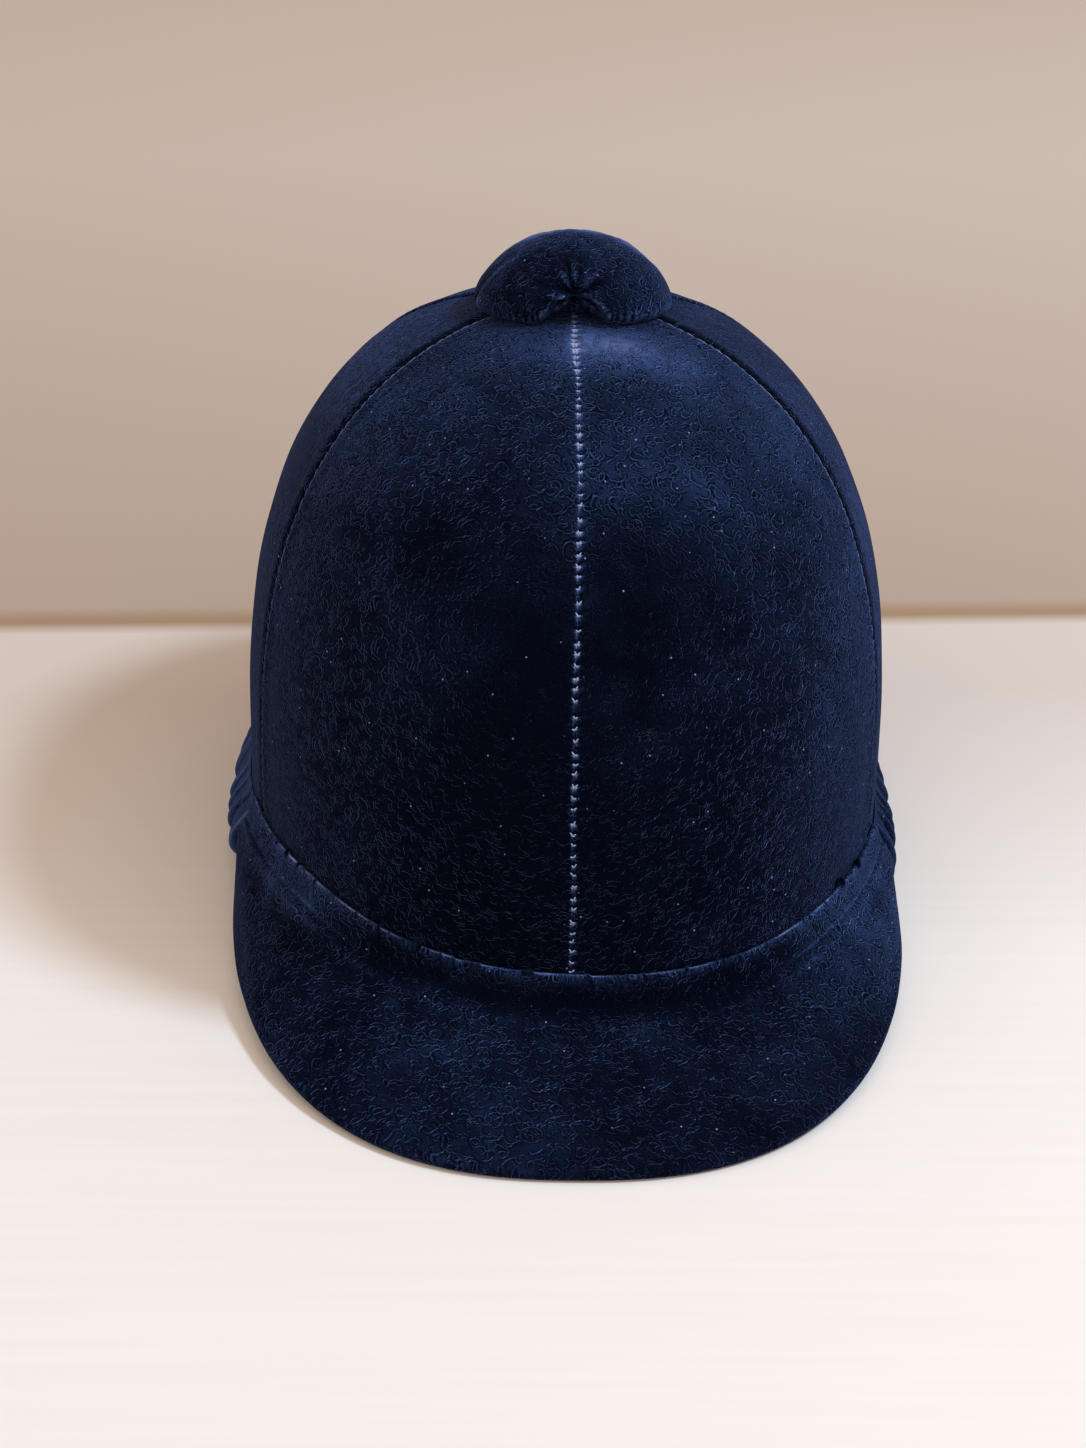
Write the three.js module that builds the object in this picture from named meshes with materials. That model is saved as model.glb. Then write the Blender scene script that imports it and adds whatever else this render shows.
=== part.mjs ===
// A velvet hunt cap: six crown panels, a peak with a turned-up collar, a gathered band
// round the back and a padded button on top.
// Millimetres, +Z up, the front of the cap towards -Y and the wearer's left towards +X.
// The cap stands as it does on a table, on its rim and on the tip of its peak.
import * as THREE from 'three';
import { mergeVertices } from 'three/addons/utils/BufferGeometryUtils.js';

// The crown is a dome on a rounded plan. It leans back about its rear rim point, because the
// front of the rim is lifted by the peak. A power of 2 is round, and more is squarer.
const CROWN = {
  halfWidth: 98,
  halfLength: 123.4,
  domeHeight: 140,
  planPower: 2.275,
  risePower: 2.934,
  shoulderPower: 2.253,
  leanDegrees: 5,
  baseHeightAtBack: 22,
  wall: 3,
  rimLiftAtFront: 6,
  apexHoleShare: 0.05,
};

// The seams between the panels, as turns from the front, and the clearance at each of them.
const SEAM = { frontTurn: 64.65, backTurn: 115.35, clearance: 0.36 };

const PANEL = { columns: 8, skirtRows: 2, domeRows: 13 };

// The clearance between pieces that lie against each other.
const CLEARANCE = 0.3;

// The peak is a covered board. Its edge is a rounded outline in plan, lowest at the tip, and its
// root follows the crown below the collar.
const PEAK = {
  columns: 32,
  halfWidth: 98.4,
  reach: 132,
  widestY: -48.2,
  planPower: 2.42,
  thickness: 3.4,
  cornerLift: 10,
  liftPower: 1.5,
  endTurn: 66,
  doming: 1.6,
  rootStandFront: 0.75,
  rootStandSide: 2.1,
};

// Sections of the peak from its rounded edge to its root: the share of the way from root to edge,
// how far past the edge line, and the thickness there, both as shares of half the thickness.
const PEAK_SECTIONS = [
  { along: 1, past: 0.97, thick: 0.25 },
  { along: 1, past: 0.7, thick: 0.72 },
  { along: 1, past: 0, thick: 1 },
  { along: 0.84, past: 0, thick: 1 },
  { along: 0.64, past: 0, thick: 1 },
  { along: 0.43, past: 0, thick: 1 },
  { along: 0.22, past: 0, thick: 1 },
  { along: 0, past: 0, thick: 1 },
];

// The collar is the folded velvet that stands against the crown above the peak's root. Its top
// edge is lowest at the front and climbs to the sides.
const COLLAR = {
  columns: 40,
  topClimbFront: -17.9,
  topClimbRise: 31.5,
  heightFront: 12.7,
  heightSide: 9,
};

// Sections of the collar: the share of its height, and how far its two faces stand off the crown.
const COLLAR_SECTIONS = [
  { up: 0, inner: 0.3, outer: 3.9 },
  { up: 0.3, inner: 0.3, outer: 3.3 },
  { up: 0.7, inner: 0.3, outer: 2.9 },
  { up: 0.91, inner: 0.35, outer: 2.6 },
  { up: 1, inner: 0.8, outer: 1.9 },
];

// The band starts behind each end of the peak and goes round the back. It is gathered into upright
// folds at its ends, which die out towards the back.
const BAND = {
  heightAtEnds: 43,
  heightAtBack: 35,
  startTurn: 66.6,
  startSlant: 8,
  slantHeight: 30,
  foldTurn: 3.3,
  foldCount: 14,
  columnsPerFold: 4,
  backColumns: 24,
  foldDepth: 0.42,
  foldRoundness: 0.62,
  endThinness: 0.45,
};

// Sections of the band: the share of its height, and how far its outer face stands off the crown.
const BAND_SECTIONS = [
  { up: 0, stand: 3.6 },
  { up: 0.09, stand: 5.6 },
  { up: 0.26, stand: 7.2 },
  { up: 0.43, stand: 7.2 },
  { up: 0.6, stand: 6.0 },
  { up: 0.76, stand: 4.2 },
  { up: 0.9, stand: 2.5 },
  { up: 1, stand: 1.3 },
];

// The button is a domed cushion over the apex with a notch in the middle of its front.
const BUTTON = {
  halfWidth: 29,
  halfDepth: 25.5,
  setForward: 4,
  height: 19.8,
  planPower: 2.3,
  domePower: 2.2,
  shoulderPower: 1.2,
  rolledEdgeShare: 0.24,
  domeRings: 9,
  segments: 48,
  notchHalfWidth: 8.5,
  notchDepth: 11,
  notchHeight: 11,
};

// Rings of the button's underside, as shares of its plan outline.
const BUTTON_UNDERSIDE = [0, 0.5, 0.84, 0.95];

const VELVET = { color: 0x1b2a4e, roughness: 0.95, metalness: 0 };

const radians = THREE.MathUtils.degToRad;
const mix = THREE.MathUtils.lerp;
const smooth = THREE.MathUtils.smoothstep;

function signedPower(value, power) {
  return Math.sign(value) * Math.abs(value) ** power;
}

// Turns the upright crown back by its lean, and sets it at its height above the table.
function leanBack(x, y, z) {
  const lean = radians(CROWN.leanDegrees);
  const fromBack = y - CROWN.halfLength;
  return new THREE.Vector3(
    x,
    CROWN.halfLength + fromBack * Math.cos(lean) + z * Math.sin(lean),
    -fromBack * Math.sin(lean) + z * Math.cos(lean) + CROWN.baseHeightAtBack,
  );
}

// The size of the plan outline at a climb above the dome's base, as a share of that at the base.
function planShare(climb, offset) {
  const share = Math.min(Math.max(climb, 0) / (CROWN.domeHeight + offset), 1);
  return (1 - share ** CROWN.risePower) ** (1 / CROWN.shoulderPower);
}

// A point that stands off the crown's outer face. The turn is 0 at the front and grows towards the
// wearer's left, and the climb is measured from the dome's base.
function crownPoint(turn, climb, offset) {
  const share = planShare(climb, offset);
  const angle = radians(turn);
  const x = (CROWN.halfWidth + offset) * share * signedPower(Math.sin(angle), 2 / CROWN.planPower);
  const y = -(CROWN.halfLength + offset) * share * signedPower(Math.cos(angle), 2 / CROWN.planPower);
  return leanBack(x, y, climb);
}

// The climb at which a point of the crown's upright lower wall has this height above the table.
function climbAtHeight(turn, height, offset) {
  const lean = radians(CROWN.leanDegrees);
  const y = -(CROWN.halfLength + offset) * signedPower(Math.cos(radians(turn)), 2 / CROWN.planPower);
  const fromBack = y - CROWN.halfLength;
  return (height - CROWN.baseHeightAtBack + fromBack * Math.sin(lean)) / Math.cos(lean);
}

// A closed wall between an outer and an inner face. pointAt gives a point for a column, a row and
// a face, with columns running anticlockwise seen from above and rows running up or inwards.
function wallGeometry(columns, rows, pointAt) {
  const positions = [];
  for (const face of ['outer', 'inner']) {
    for (let column = 0; column <= columns; column += 1) {
      for (let row = 0; row <= rows; row += 1) {
        positions.push(...pointAt(column, row, face).toArray());
      }
    }
  }
  const perFace = (columns + 1) * (rows + 1);
  const outer = (column, row) => column * (rows + 1) + row;
  const inner = (column, row) => perFace + outer(column, row);
  const indices = [];
  const addQuad = (a, b, c, d) => indices.push(a, b, c, a, c, d);
  for (let column = 0; column < columns; column += 1) {
    const next = column + 1;
    for (let row = 0; row < rows; row += 1) {
      addQuad(outer(column, row), outer(next, row), outer(next, row + 1), outer(column, row + 1));
      addQuad(inner(next, row), inner(column, row), inner(column, row + 1), inner(next, row + 1));
    }
    addQuad(inner(column, 0), inner(next, 0), outer(next, 0), outer(column, 0));
    addQuad(outer(column, rows), outer(next, rows), inner(next, rows), inner(column, rows));
  }
  for (let row = 0; row < rows; row += 1) {
    addQuad(inner(0, row), outer(0, row), outer(0, row + 1), inner(0, row + 1));
    addQuad(outer(columns, row), inner(columns, row), inner(columns, row + 1), outer(columns, row + 1));
  }
  const geometry = new THREE.BufferGeometry();
  geometry.setAttribute('position', new THREE.Float32BufferAttribute(positions, 3));
  geometry.setIndex(indices);
  geometry.computeVertexNormals();
  return geometry;
}

// The height of the rim above the table: flat round the back, a little raised under the peak.
function rimHeight(turn) {
  return CROWN.rimLiftAtFront * Math.max(Math.cos(radians(turn)), 0) ** 2;
}

// One panel of the crown between two seams, from the rim to the small hole at the apex.
function panelGeometry(fromTurn, toTurn) {
  const rows = PANEL.skirtRows + PANEL.domeRows;
  const apexAngle = Math.acos(CROWN.apexHoleShare ** (CROWN.shoulderPower / 2));
  return wallGeometry(PANEL.columns, rows, (column, row, face) => {
    const turn = mix(fromTurn, toTurn, column / PANEL.columns);
    const offset = face === 'outer' ? 0 : -CROWN.wall;
    let climb;
    if (row <= PANEL.skirtRows) {
      climb = mix(climbAtHeight(turn, rimHeight(turn), offset), 0, row / PANEL.skirtRows);
    } else {
      const angle = apexAngle * (row - PANEL.skirtRows) / PANEL.domeRows;
      climb = (CROWN.domeHeight + offset) * Math.sin(angle) ** (2 / CROWN.risePower);
    }
    const point = crownPoint(turn, climb, offset);
    const seamAzimuth = Math.atan2(
      CROWN.halfWidth * signedPower(Math.sin(radians(turn)), 2 / CROWN.planPower),
      CROWN.halfLength * signedPower(Math.cos(radians(turn)), 2 / CROWN.planPower),
    );
    const inset = { 0: 1, [PANEL.columns]: -1 }[column] ?? 0;
    point.x += inset * SEAM.clearance / 2 * Math.cos(seamAzimuth);
    point.y += inset * SEAM.clearance / 2 * Math.sin(seamAzimuth);
    return point;
  });
}

// The climb of the collar's top edge, and of the line below it where the peak meets the crown.
function collarTopClimb(turn) {
  return COLLAR.topClimbFront + COLLAR.topClimbRise * (1 - Math.cos(radians(turn)));
}

function peakRootClimb(turn) {
  const share = smooth(Math.abs(turn), 0, PEAK.endTurn);
  return collarTopClimb(turn) - mix(COLLAR.heightFront, COLLAR.heightSide, share);
}

// A point of the peak's middle surface, from its root on the crown to its edge.
function peakMiddle(turn, along) {
  const rootStand = mix(PEAK.rootStandFront, PEAK.rootStandSide, smooth(Math.abs(turn), 0, PEAK.endTurn));
  const root = crownPoint(turn, peakRootClimb(turn), rootStand);
  const angle = radians(90 * turn / PEAK.endTurn);
  const edgeY = PEAK.widestY - PEAK.reach * signedPower(Math.cos(angle), 2 / PEAK.planPower);
  const towardsCorner = Math.max(edgeY - (PEAK.widestY - PEAK.reach), 0) / PEAK.reach;
  const edge = new THREE.Vector3(
    PEAK.halfWidth * signedPower(Math.sin(angle), 2 / PEAK.planPower),
    edgeY,
    PEAK.thickness / 2 + PEAK.cornerLift * towardsCorner ** PEAK.liftPower,
  );
  return root.lerp(edge, along);
}

// The outward normal of the peak's middle surface, from two short steps along it.
function peakNormal(turn, along) {
  const turnStep = 0.5;
  const alongStep = 0.02;
  const sideways = peakMiddle(turn + turnStep, along).sub(peakMiddle(turn - turnStep, along));
  const inwards = peakMiddle(turn, along - alongStep).sub(peakMiddle(turn, along + alongStep));
  return sideways.cross(inwards).normalize();
}

function peakPoint(turn, section, face) {
  const normal = peakNormal(turn, section.along);
  const outwards = peakMiddle(turn, 1).sub(peakMiddle(turn, 0)).normalize();
  const half = PEAK.thickness / 2;
  const lift = PEAK.doming * Math.sin(Math.PI * section.along);
  const side = face === 'outer' ? 1 : -1;
  return peakMiddle(turn, section.along)
    .addScaledVector(outwards, section.past * half)
    .addScaledVector(normal, lift + side * section.thick * half);
}

function peakGeometry() {
  return wallGeometry(PEAK.columns, PEAK_SECTIONS.length - 1, (column, row, face) => {
    const turn = mix(-PEAK.endTurn, PEAK.endTurn, column / PEAK.columns);
    return peakPoint(turn, PEAK_SECTIONS[row], face);
  });
}

function collarGeometry() {
  const root = PEAK_SECTIONS[PEAK_SECTIONS.length - 1];
  return wallGeometry(COLLAR.columns, COLLAR_SECTIONS.length - 1, (column, row, face) => {
    const turn = mix(-PEAK.endTurn, PEAK.endTurn, column / COLLAR.columns);
    const section = COLLAR_SECTIONS[row];
    const offset = section[face];
    const bottomHeight = peakPoint(turn, root, 'outer').z + CLEARANCE;
    const bottomClimb = climbAtHeight(turn, bottomHeight, offset);
    return crownPoint(turn, mix(bottomClimb, collarTopClimb(turn), section.up), offset);
  });
}

// The turns of the band's columns, closer together in the folds than round the plain back.
function bandTurns() {
  const foldColumns = BAND.foldCount * BAND.columnsPerFold;
  const lastFoldTurn = BAND.startTurn + BAND.foldCount * BAND.foldTurn;
  const turns = [];
  for (let column = 0; column <= foldColumns; column += 1) {
    turns.push(mix(BAND.startTurn, lastFoldTurn, column / foldColumns));
  }
  for (let column = 1; column < BAND.backColumns; column += 1) {
    turns.push(mix(lastFoldTurn, 360 - lastFoldTurn, column / BAND.backColumns));
  }
  for (let column = foldColumns; column >= 0; column -= 1) {
    turns.push(360 - mix(BAND.startTurn, lastFoldTurn, column / foldColumns));
  }
  return turns;
}

// How much of its full thickness the band has: less in the valleys between the folds.
function foldShare(turn) {
  const fromEnd = Math.min(turn, 360 - turn) - BAND.startTurn;
  const foldsAlong = fromEnd / BAND.foldTurn;
  const fading = 1 - smooth(foldsAlong, BAND.foldCount / 2, BAND.foldCount);
  const ridge = Math.abs(Math.sin(Math.PI * foldsAlong)) ** BAND.foldRoundness;
  const folded = 1 - BAND.foldDepth * fading * (1 - ridge);
  return folded * mix(1 - BAND.endThinness, 1, smooth(foldsAlong, 0, 0.5));
}

// How near a turn is to the ends of the band: 1 at an end and 0 where the folds have died out.
function endShare(turn) {
  const fromEnd = Math.min(turn, 360 - turn) - BAND.startTurn;
  return 1 - smooth(fromEnd, 0, BAND.foldTurn * BAND.foldCount);
}

// The ends of the band slant forwards and up, along the ends of the peak, as high as these reach.
function slantedTurn(turn, height) {
  const slant = BAND.startSlant * endShare(turn) * Math.max(1 - height / BAND.slantHeight, 0);
  return turn < 180 ? turn + slant : turn - slant;
}

function bandGeometry() {
  const turns = bandTurns();
  return wallGeometry(turns.length - 1, BAND_SECTIONS.length - 1, (column, row, face) => {
    const section = BAND_SECTIONS[row];
    const height = section.up * mix(BAND.heightAtBack, BAND.heightAtEnds, endShare(turns[column]));
    const turn = slantedTurn(turns[column], height);
    const stand = CLEARANCE + (section.stand - CLEARANCE) * foldShare(turns[column]);
    const offset = face === 'outer' ? stand : CLEARANCE;
    return crownPoint(turn, climbAtHeight(turn, height, offset), offset);
  });
}

// The climb of the crown's outer face over a point near the apex, in the upright crown.
function climbOver(x, y) {
  const share = (Math.abs(x / CROWN.halfWidth) ** CROWN.planPower
    + Math.abs(y / CROWN.halfLength) ** CROWN.planPower) ** (1 / CROWN.planPower);
  return CROWN.domeHeight * (1 - share ** CROWN.shoulderPower) ** (1 / CROWN.risePower);
}

// The button's rings from the middle of its underside to its top: shares of its outline and height.
function buttonRings() {
  const rings = BUTTON_UNDERSIDE.map((spread) => new THREE.Vector2(spread, 0));
  for (let ring = 0; ring <= BUTTON.domeRings; ring += 1) {
    const angle = Math.PI / 2 * (1 - ring / BUTTON.domeRings);
    const spread = ring === BUTTON.domeRings ? 0 : Math.sin(angle) ** (2 / BUTTON.domePower);
    const rise = Math.max(Math.cos(angle), 0) ** (2 / BUTTON.shoulderPower);
    rings.push(new THREE.Vector2(spread, mix(BUTTON.rolledEdgeShare, 1, rise)));
  }
  return rings;
}

// A turned dome, whose rings are then drawn out to the plan outline, notched and laid on the crown.
function buttonGeometry() {
  const turned = new THREE.LatheGeometry(buttonRings(), BUTTON.segments);
  turned.deleteAttribute('normal');
  turned.deleteAttribute('uv');
  const geometry = mergeVertices(turned, 1e-4);
  const position = geometry.getAttribute('position');
  for (let index = 0; index < position.count; index += 1) {
    const sideShare = position.getX(index);
    const frontShare = position.getZ(index);
    const rise = BUTTON.height * position.getY(index);
    const spread = Math.hypot(sideShare, frontShare) || 1;
    const outline = spread / (Math.abs(sideShare) ** BUTTON.planPower
      + Math.abs(frontShare) ** BUTTON.planPower || 1) ** (1 / BUTTON.planPower);
    const x = BUTTON.halfWidth * outline * sideShare;
    let y = -BUTTON.setForward - BUTTON.halfDepth * outline * frontShare;
    const across = Math.max(1 - (x / BUTTON.notchHalfWidth) ** 2, 0);
    const upwards = Math.max(1 - (rise / BUTTON.notchHeight) ** 2, 0);
    y += BUTTON.notchDepth * across * upwards * Math.max(frontShare, 0) ** 2;
    const point = leanBack(x, y, climbOver(x, y) + CLEARANCE + rise);
    position.setXYZ(index, point.x, point.y, point.z);
  }
  geometry.computeVertexNormals();
  return geometry;
}

const cap = new THREE.Group();

function addPiece(name, geometry) {
  const piece = new THREE.Mesh(geometry, new THREE.MeshStandardMaterial(VELVET));
  piece.name = name;
  cap.add(piece);
}

addPiece('crown_front_left', panelGeometry(0, SEAM.frontTurn));
addPiece('crown_side_left', panelGeometry(SEAM.frontTurn, SEAM.backTurn));
addPiece('crown_back_left', panelGeometry(SEAM.backTurn, 180));
addPiece('crown_back_right', panelGeometry(180, 360 - SEAM.backTurn));
addPiece('crown_side_right', panelGeometry(360 - SEAM.backTurn, 360 - SEAM.frontTurn));
addPiece('crown_front_right', panelGeometry(360 - SEAM.frontTurn, 360));
addPiece('peak', peakGeometry());
addPiece('peak_collar', collarGeometry());
addPiece('gathered_band', bandGeometry());
addPiece('crown_button', buttonGeometry());

// The origin is below the middle of the cap, on the table.
const box = new THREE.Box3().setFromObject(cap);
const middle = box.getCenter(new THREE.Vector3());
cap.position.set(0, -middle.y, -box.min.z);

export default cap;
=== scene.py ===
import math

import bmesh
import bpy
import numpy as np
from mathutils import Matrix, Vector


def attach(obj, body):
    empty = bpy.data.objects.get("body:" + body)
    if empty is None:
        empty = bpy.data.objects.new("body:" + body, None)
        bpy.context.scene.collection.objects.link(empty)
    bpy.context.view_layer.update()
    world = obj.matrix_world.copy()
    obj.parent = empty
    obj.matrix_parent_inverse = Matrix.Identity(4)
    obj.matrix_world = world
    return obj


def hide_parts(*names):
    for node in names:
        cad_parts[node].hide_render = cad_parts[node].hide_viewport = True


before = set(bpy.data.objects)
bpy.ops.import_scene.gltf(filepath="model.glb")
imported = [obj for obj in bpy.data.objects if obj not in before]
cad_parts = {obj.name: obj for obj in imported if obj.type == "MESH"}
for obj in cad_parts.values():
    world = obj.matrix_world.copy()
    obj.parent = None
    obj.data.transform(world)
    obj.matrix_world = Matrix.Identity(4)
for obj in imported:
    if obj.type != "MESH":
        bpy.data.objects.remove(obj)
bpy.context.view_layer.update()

bl_info = {
    "name": "Velvet hunt cap",
    "version": (1, 0, 0),
    "blender": (4, 5, 0),
    "location": "3D View > Sidebar > Hunt cap",
    "description": "Dresses a hunt cap in seamed, pleated and padded velvet",
    "category": "Add Mesh",
}

MILLIMETRE = 0.001

# The middle of the crown's plan lies this far behind the middle of the cap's box, in millimetres.
CROWN_BEHIND_ORIGIN = 25.94

# The crown, as in the solids: a dome on a rounded plan that leans back. Millimetres and degrees.
CROWN = {
    "half_width": 98.0,
    "half_length": 123.4,
    "dome_height": 140.0,
    "plan_power": 2.275,
    "rise_power": 2.934,
    "shoulder_power": 2.253,
    "lean": math.radians(5),
    "base_height": 22.0,
    "wall": 3.0,
    "rim_lift": 6.0,
    "rim_roll": 1.2,
    "apex_share": 0.05,
}

FRONT_SEAM_TURN = 64.65
BACK_SEAM_TURN = 115.35
SEAM_TURNS = (
    0.0, FRONT_SEAM_TURN, BACK_SEAM_TURN, 180.0, 360.0 - BACK_SEAM_TURN, 360.0 - FRONT_SEAM_TURN)

# The panels: node, turns from and to, grid columns and rows, and the finish of the two edges.
PANELS = [
    ("crown_front_left", 0.0, FRONT_SEAM_TURN, 120, 680, "puffed", "lapped"),
    ("crown_side_left", FRONT_SEAM_TURN, BACK_SEAM_TURN, 64, 600, "tucked", "tucked"),
    ("crown_back_left", BACK_SEAM_TURN, 180.0, 60, 340, "pressed", "plain"),
    ("crown_back_right", 180.0, 360.0 - BACK_SEAM_TURN, 60, 340, "puffed", "pressed"),
    ("crown_side_right", 360.0 - BACK_SEAM_TURN, 360.0 - FRONT_SEAM_TURN, 64, 600, "tucked", "tucked"),
    ("crown_front_right", 360.0 - FRONT_SEAM_TURN, 360.0, 120, 680, "lapped", "plain"),
]

# How the velvet lies beside a seam, one row for each finish of its edge. First, in millimetres: the
# radius that the edge rolls under with, how proud it swells, where and over what width, how far the
# stitches draw it back, the height, the reach and the slant of the puffs between the stitches, and
# the depth of a sunk edge. Then the painted light and shade in the pile's tone: a painted highlight
# on a proud edge or painted shade in a sunk groove, a painted highlight on the puffs near the seam,
# lighter and darker over their whole reach as they rise, a painted highlight on their upper rims, a
# painted glow or shade beside the seam, and how wide the edge's is.
SEAM_MEASURES = (
    "roll", "swell", "place", "width", "draw", "puff", "reach", "slant", "sink",
    "edge_shading", "puff_highlight", "reach_shading", "rim_highlight", "beside_shading", "edge_width")
SEAM_EDGES = {
    "puffed": (0.20, 0.22, 2.4, 2.6, 0.15, 0.42, 2.0, 0.15, 0.0, 0.15, 0.85, 0.30, 1.3, 0.10, 0.6),
    "plain": (0.20, 0.20, 1.6, 2.4, 0.10, 0.34, 1.1, 0.10, 0.0, 0.40, 0.85, 0.18, 1.3, 0.08, 0.6),
    "lapped": (0.40, 0.62, 1.5, 2.6, 0.50, 0.14, 1.4, 0.12, 0.0, 2.3, 0.0, 0.10, 0.1, 0.12, 0.6),
    "pressed": (0.40, 0.45, 1.5, 2.6, 0.30, 0.14, 1.4, 0.12, 0.0, 0.30, 0.0, 0.10, 0.0, 0.04, 0.6),
    "tucked": (0.20, 0.30, 5.0, 3.4, 0.0, 0.12, 2.6, 0.12, 2.2, -2.0, 0.0, 0.05, 0.0, -0.05, 3.4),
}
SINK_WIDTH = 2.8

# The hole that a stitch draws into the velvet: how far along the stitch it lies and how long it is,
# as shares of a stitch, then its width and depth in millimetres and the painted shade in it.
STITCH_HOLE = {"place": 0.03, "length": 0.08, "width": 0.50, "depth": 0.7, "nap_and_shading": -2.2}

# The peak, as in the solids, but it ends a little further back and higher at the wearer's right
# corner than at the left one.
PEAK = {
    "half_width": 98.4,
    "reach": 132.0,
    "widest_y": -48.2,
    "plan_power": 2.42,
    "thickness": 3.4,
    "corner_lift": 10.0,
    "lift_power": 1.5,
    "end_turn": 70.0,
    "doming": 1.6,
    "root_stand_front": 0.75,
    "root_stand_side": 2.1,
    "right_corner_back": 6.0,
    "right_corner_up": 2.0,
}

# The collar's top edge and height, as in the solids. It sits a little higher at the wearer's right
# end than at the left one, which is the lopsided climb.
COLLAR = {
    "top_climb_front": -17.9,
    "top_climb_rise": 31.5,
    "lopsided_climb": 5.2,
    "left_end_drop": 4.6,
    "right_end_drop": 7.7,
    "height_front": 12.7,
    "height_side": 9.0,
}

# Lines of the cover that is drawn over the peak and the collar, all round its section: on the
# collar the share of its height, and how far it stands off the crown at the front and at the ends;
# on the peak the share from root to edge, how far past the edge and how thick, in half thicknesses.
# The last column is the number of grid rows up to the next line.
COVER_LINES = [
    ("collar", 0.10, 0.30, 0.30, 2),
    ("collar", 0.55, 0.30, 0.30, 3),
    ("collar", 0.88, 0.32, 0.32, 4),
    ("collar", 0.97, 0.50, 0.50, 4),
    ("collar", 1.00, 1.10, 1.05, 4),
    ("collar", 0.97, 1.75, 1.65, 4),
    ("collar", 0.88, 2.35, 2.20, 5),
    ("collar", 0.64, 2.95, 2.70, 6),
    ("collar", 0.40, 3.50, 3.15, 5),
    ("collar", 0.20, 4.70, 3.70, 5),
    ("collar", 0.07, 7.20, 4.60, 5),
    ("peak", 0.22, 0.0, 1.0, 7),
    ("peak", 0.42, 0.0, 1.0, 7),
    ("peak", 0.64, 0.0, 1.0, 7),
    ("peak", 0.84, 0.0, 1.0, 6),
    ("peak", 0.97, 0.0, 1.0, 4),
    ("peak", 1.0, 0.62, 0.82, 3),
    ("peak", 1.0, 0.99, 0.0, 3),
    ("peak", 1.0, 0.62, -0.82, 3),
    ("peak", 0.97, 0.0, -1.0, 3),
    ("peak", 0.72, 0.0, -1.0, 3),
    ("peak", 0.36, 0.0, -1.0, 3),
    ("peak", 0.06, 0.0, -1.0, 2),
    ("peak", -0.02, 0.0, -0.2, 2),
]

COVER_COLUMNS = 720

# Folds in the collar: the turn where one stretch laps over the next, and how thick the lap is.
COLLAR_LAPS = [
    (-44.0, 0.40), (-29.5, 0.35), (-16.2, 0.60), (2.0, 0.50), (25.2, 0.60), (41.0, 0.45), (57.5, 0.4)]

# Deep nicks in the collar's fold: the turn, and the depth and width in millimetres.
COLLAR_NICKS = [
    (-52.5, 1.3, 0.9), (-49.0, 0.8, 0.7), (-22.0, 0.5, 0.6), (50.7, 3.2, 1.3), (57.4, 2.2, 0.9)]

# From one small nick in the fold to the next, and from one fine tuck to the next, in millimetres.
NICK_PITCH = 5.3
TUCK_PITCH = 1.5

# Places where the peak's tone is made lighter or darker: some where its pile was brushed up or down,
# others painted light and shade, lighter at the corner towards the window and darker in the middle by
# the collar. x, y and z, how far it spreads, in millimetres, and how much lighter or darker it lies.
PEAK_BRUSHED_AND_SHADED = [
    (-78.0, -60.0, 14.0, 24.0, 0.10),
    (-50.0, -118.0, 10.0, 20.0, 0.12),
    (-22.0, -112.0, 12.0, 14.0, 0.10),
    (10.0, -106.0, 13.0, 16.0, 0.06),
    (30.0, -128.0, 9.0, 24.0, -0.06),
    (0.0, -150.0, 5.0, 26.0, 0.16),
    (74.0, -80.0, 12.0, 22.0, 0.12),
    (90.0, -50.0, 14.0, 26.0, 0.42),
    (-60.0, -66.0, 22.0, 20.0, 0.12),
    (-56.0, -92.0, 22.0, 15.0, 0.11),
    (2.0, -118.0, 16.0, 24.0, -0.12),
]

# The band, as in the solids, with finer folds and lower ends. The ends slant back below the collar.
# At the wearer's right end it slants more, its foot lifts off, and its folds are broad and shallow.
BAND = {
    "height_at_ends": 28.0,
    "height_at_back": 26.0,
    "right_foot_lift": 4.6,
    "right_fold_turn": 4.4,
    "right_fold_depth": 0.55,
    "start_turn": 70.4,
    "left_slant": 4.0,
    "right_slant": 8.0,
    "slant_height": 30.0,
    "inner_stand": 0.3,
    "fold_turn": 3.3,
    "fold_count": 13,
    "columns_per_fold": 16,
    "back_columns": 112,
}

# Lines of the band: the share of its height, how far it stands off the crown, and the rows up to
# the next line.
BAND_LINES = [
    (0.0, 2.2, 4),
    (0.03, 4.6, 4),
    (0.10, 6.6, 5),
    (0.24, 8.1, 6),
    (0.42, 8.1, 6),
    (0.60, 6.6, 6),
    (0.72, 4.9, 5),
    (0.82, 3.1, 5),
    (0.90, 1.7, 4),
    (0.96, 1.0, 3),
    (1.0, 0.5, 0),
]

# The button, as in the solids, but with soft lobes beside its notch, in millimetres.
BUTTON = {
    "half_width": 29.0,
    "half_depth": 25.5,
    "set_forward": 4.0,
    "height": 19.8,
    "widest_at": 4.4,
    "plan_power": 2.3,
    "dome_power": 2.2,
    "shoulder_power": 1.42,
    "notch_half_width": 9.2,
    "notch_depth": 11.5,
    "notch_height": 8.6,
    "knot_height": 8.2,
    "dome_end": math.radians(110),
    "rolled_share": 0.35,
}


def linear_colour(hex_code):
    """An sRGB hex colour as linear red, green and blue."""
    channels = [int(hex_code[index:index + 2], 16) / 255 for index in (1, 3, 5)]
    return [c / 12.92 if c <= 0.04045 else ((c + 0.055) / 1.055) ** 2.4 for c in channels]


def length_property(name, description, default, least, most):
    """A property that holds a length in metres."""
    return bpy.props.FloatProperty(
        name=name, description=description, default=default, min=least, max=most,
        subtype="DISTANCE", unit="LENGTH")


def colour_property(name, description, hex_code):
    """A property that holds a colour."""
    return bpy.props.FloatVectorProperty(
        name=name, description=description, default=linear_colour(hex_code),
        size=3, min=0, max=1, subtype="COLOR")


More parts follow.
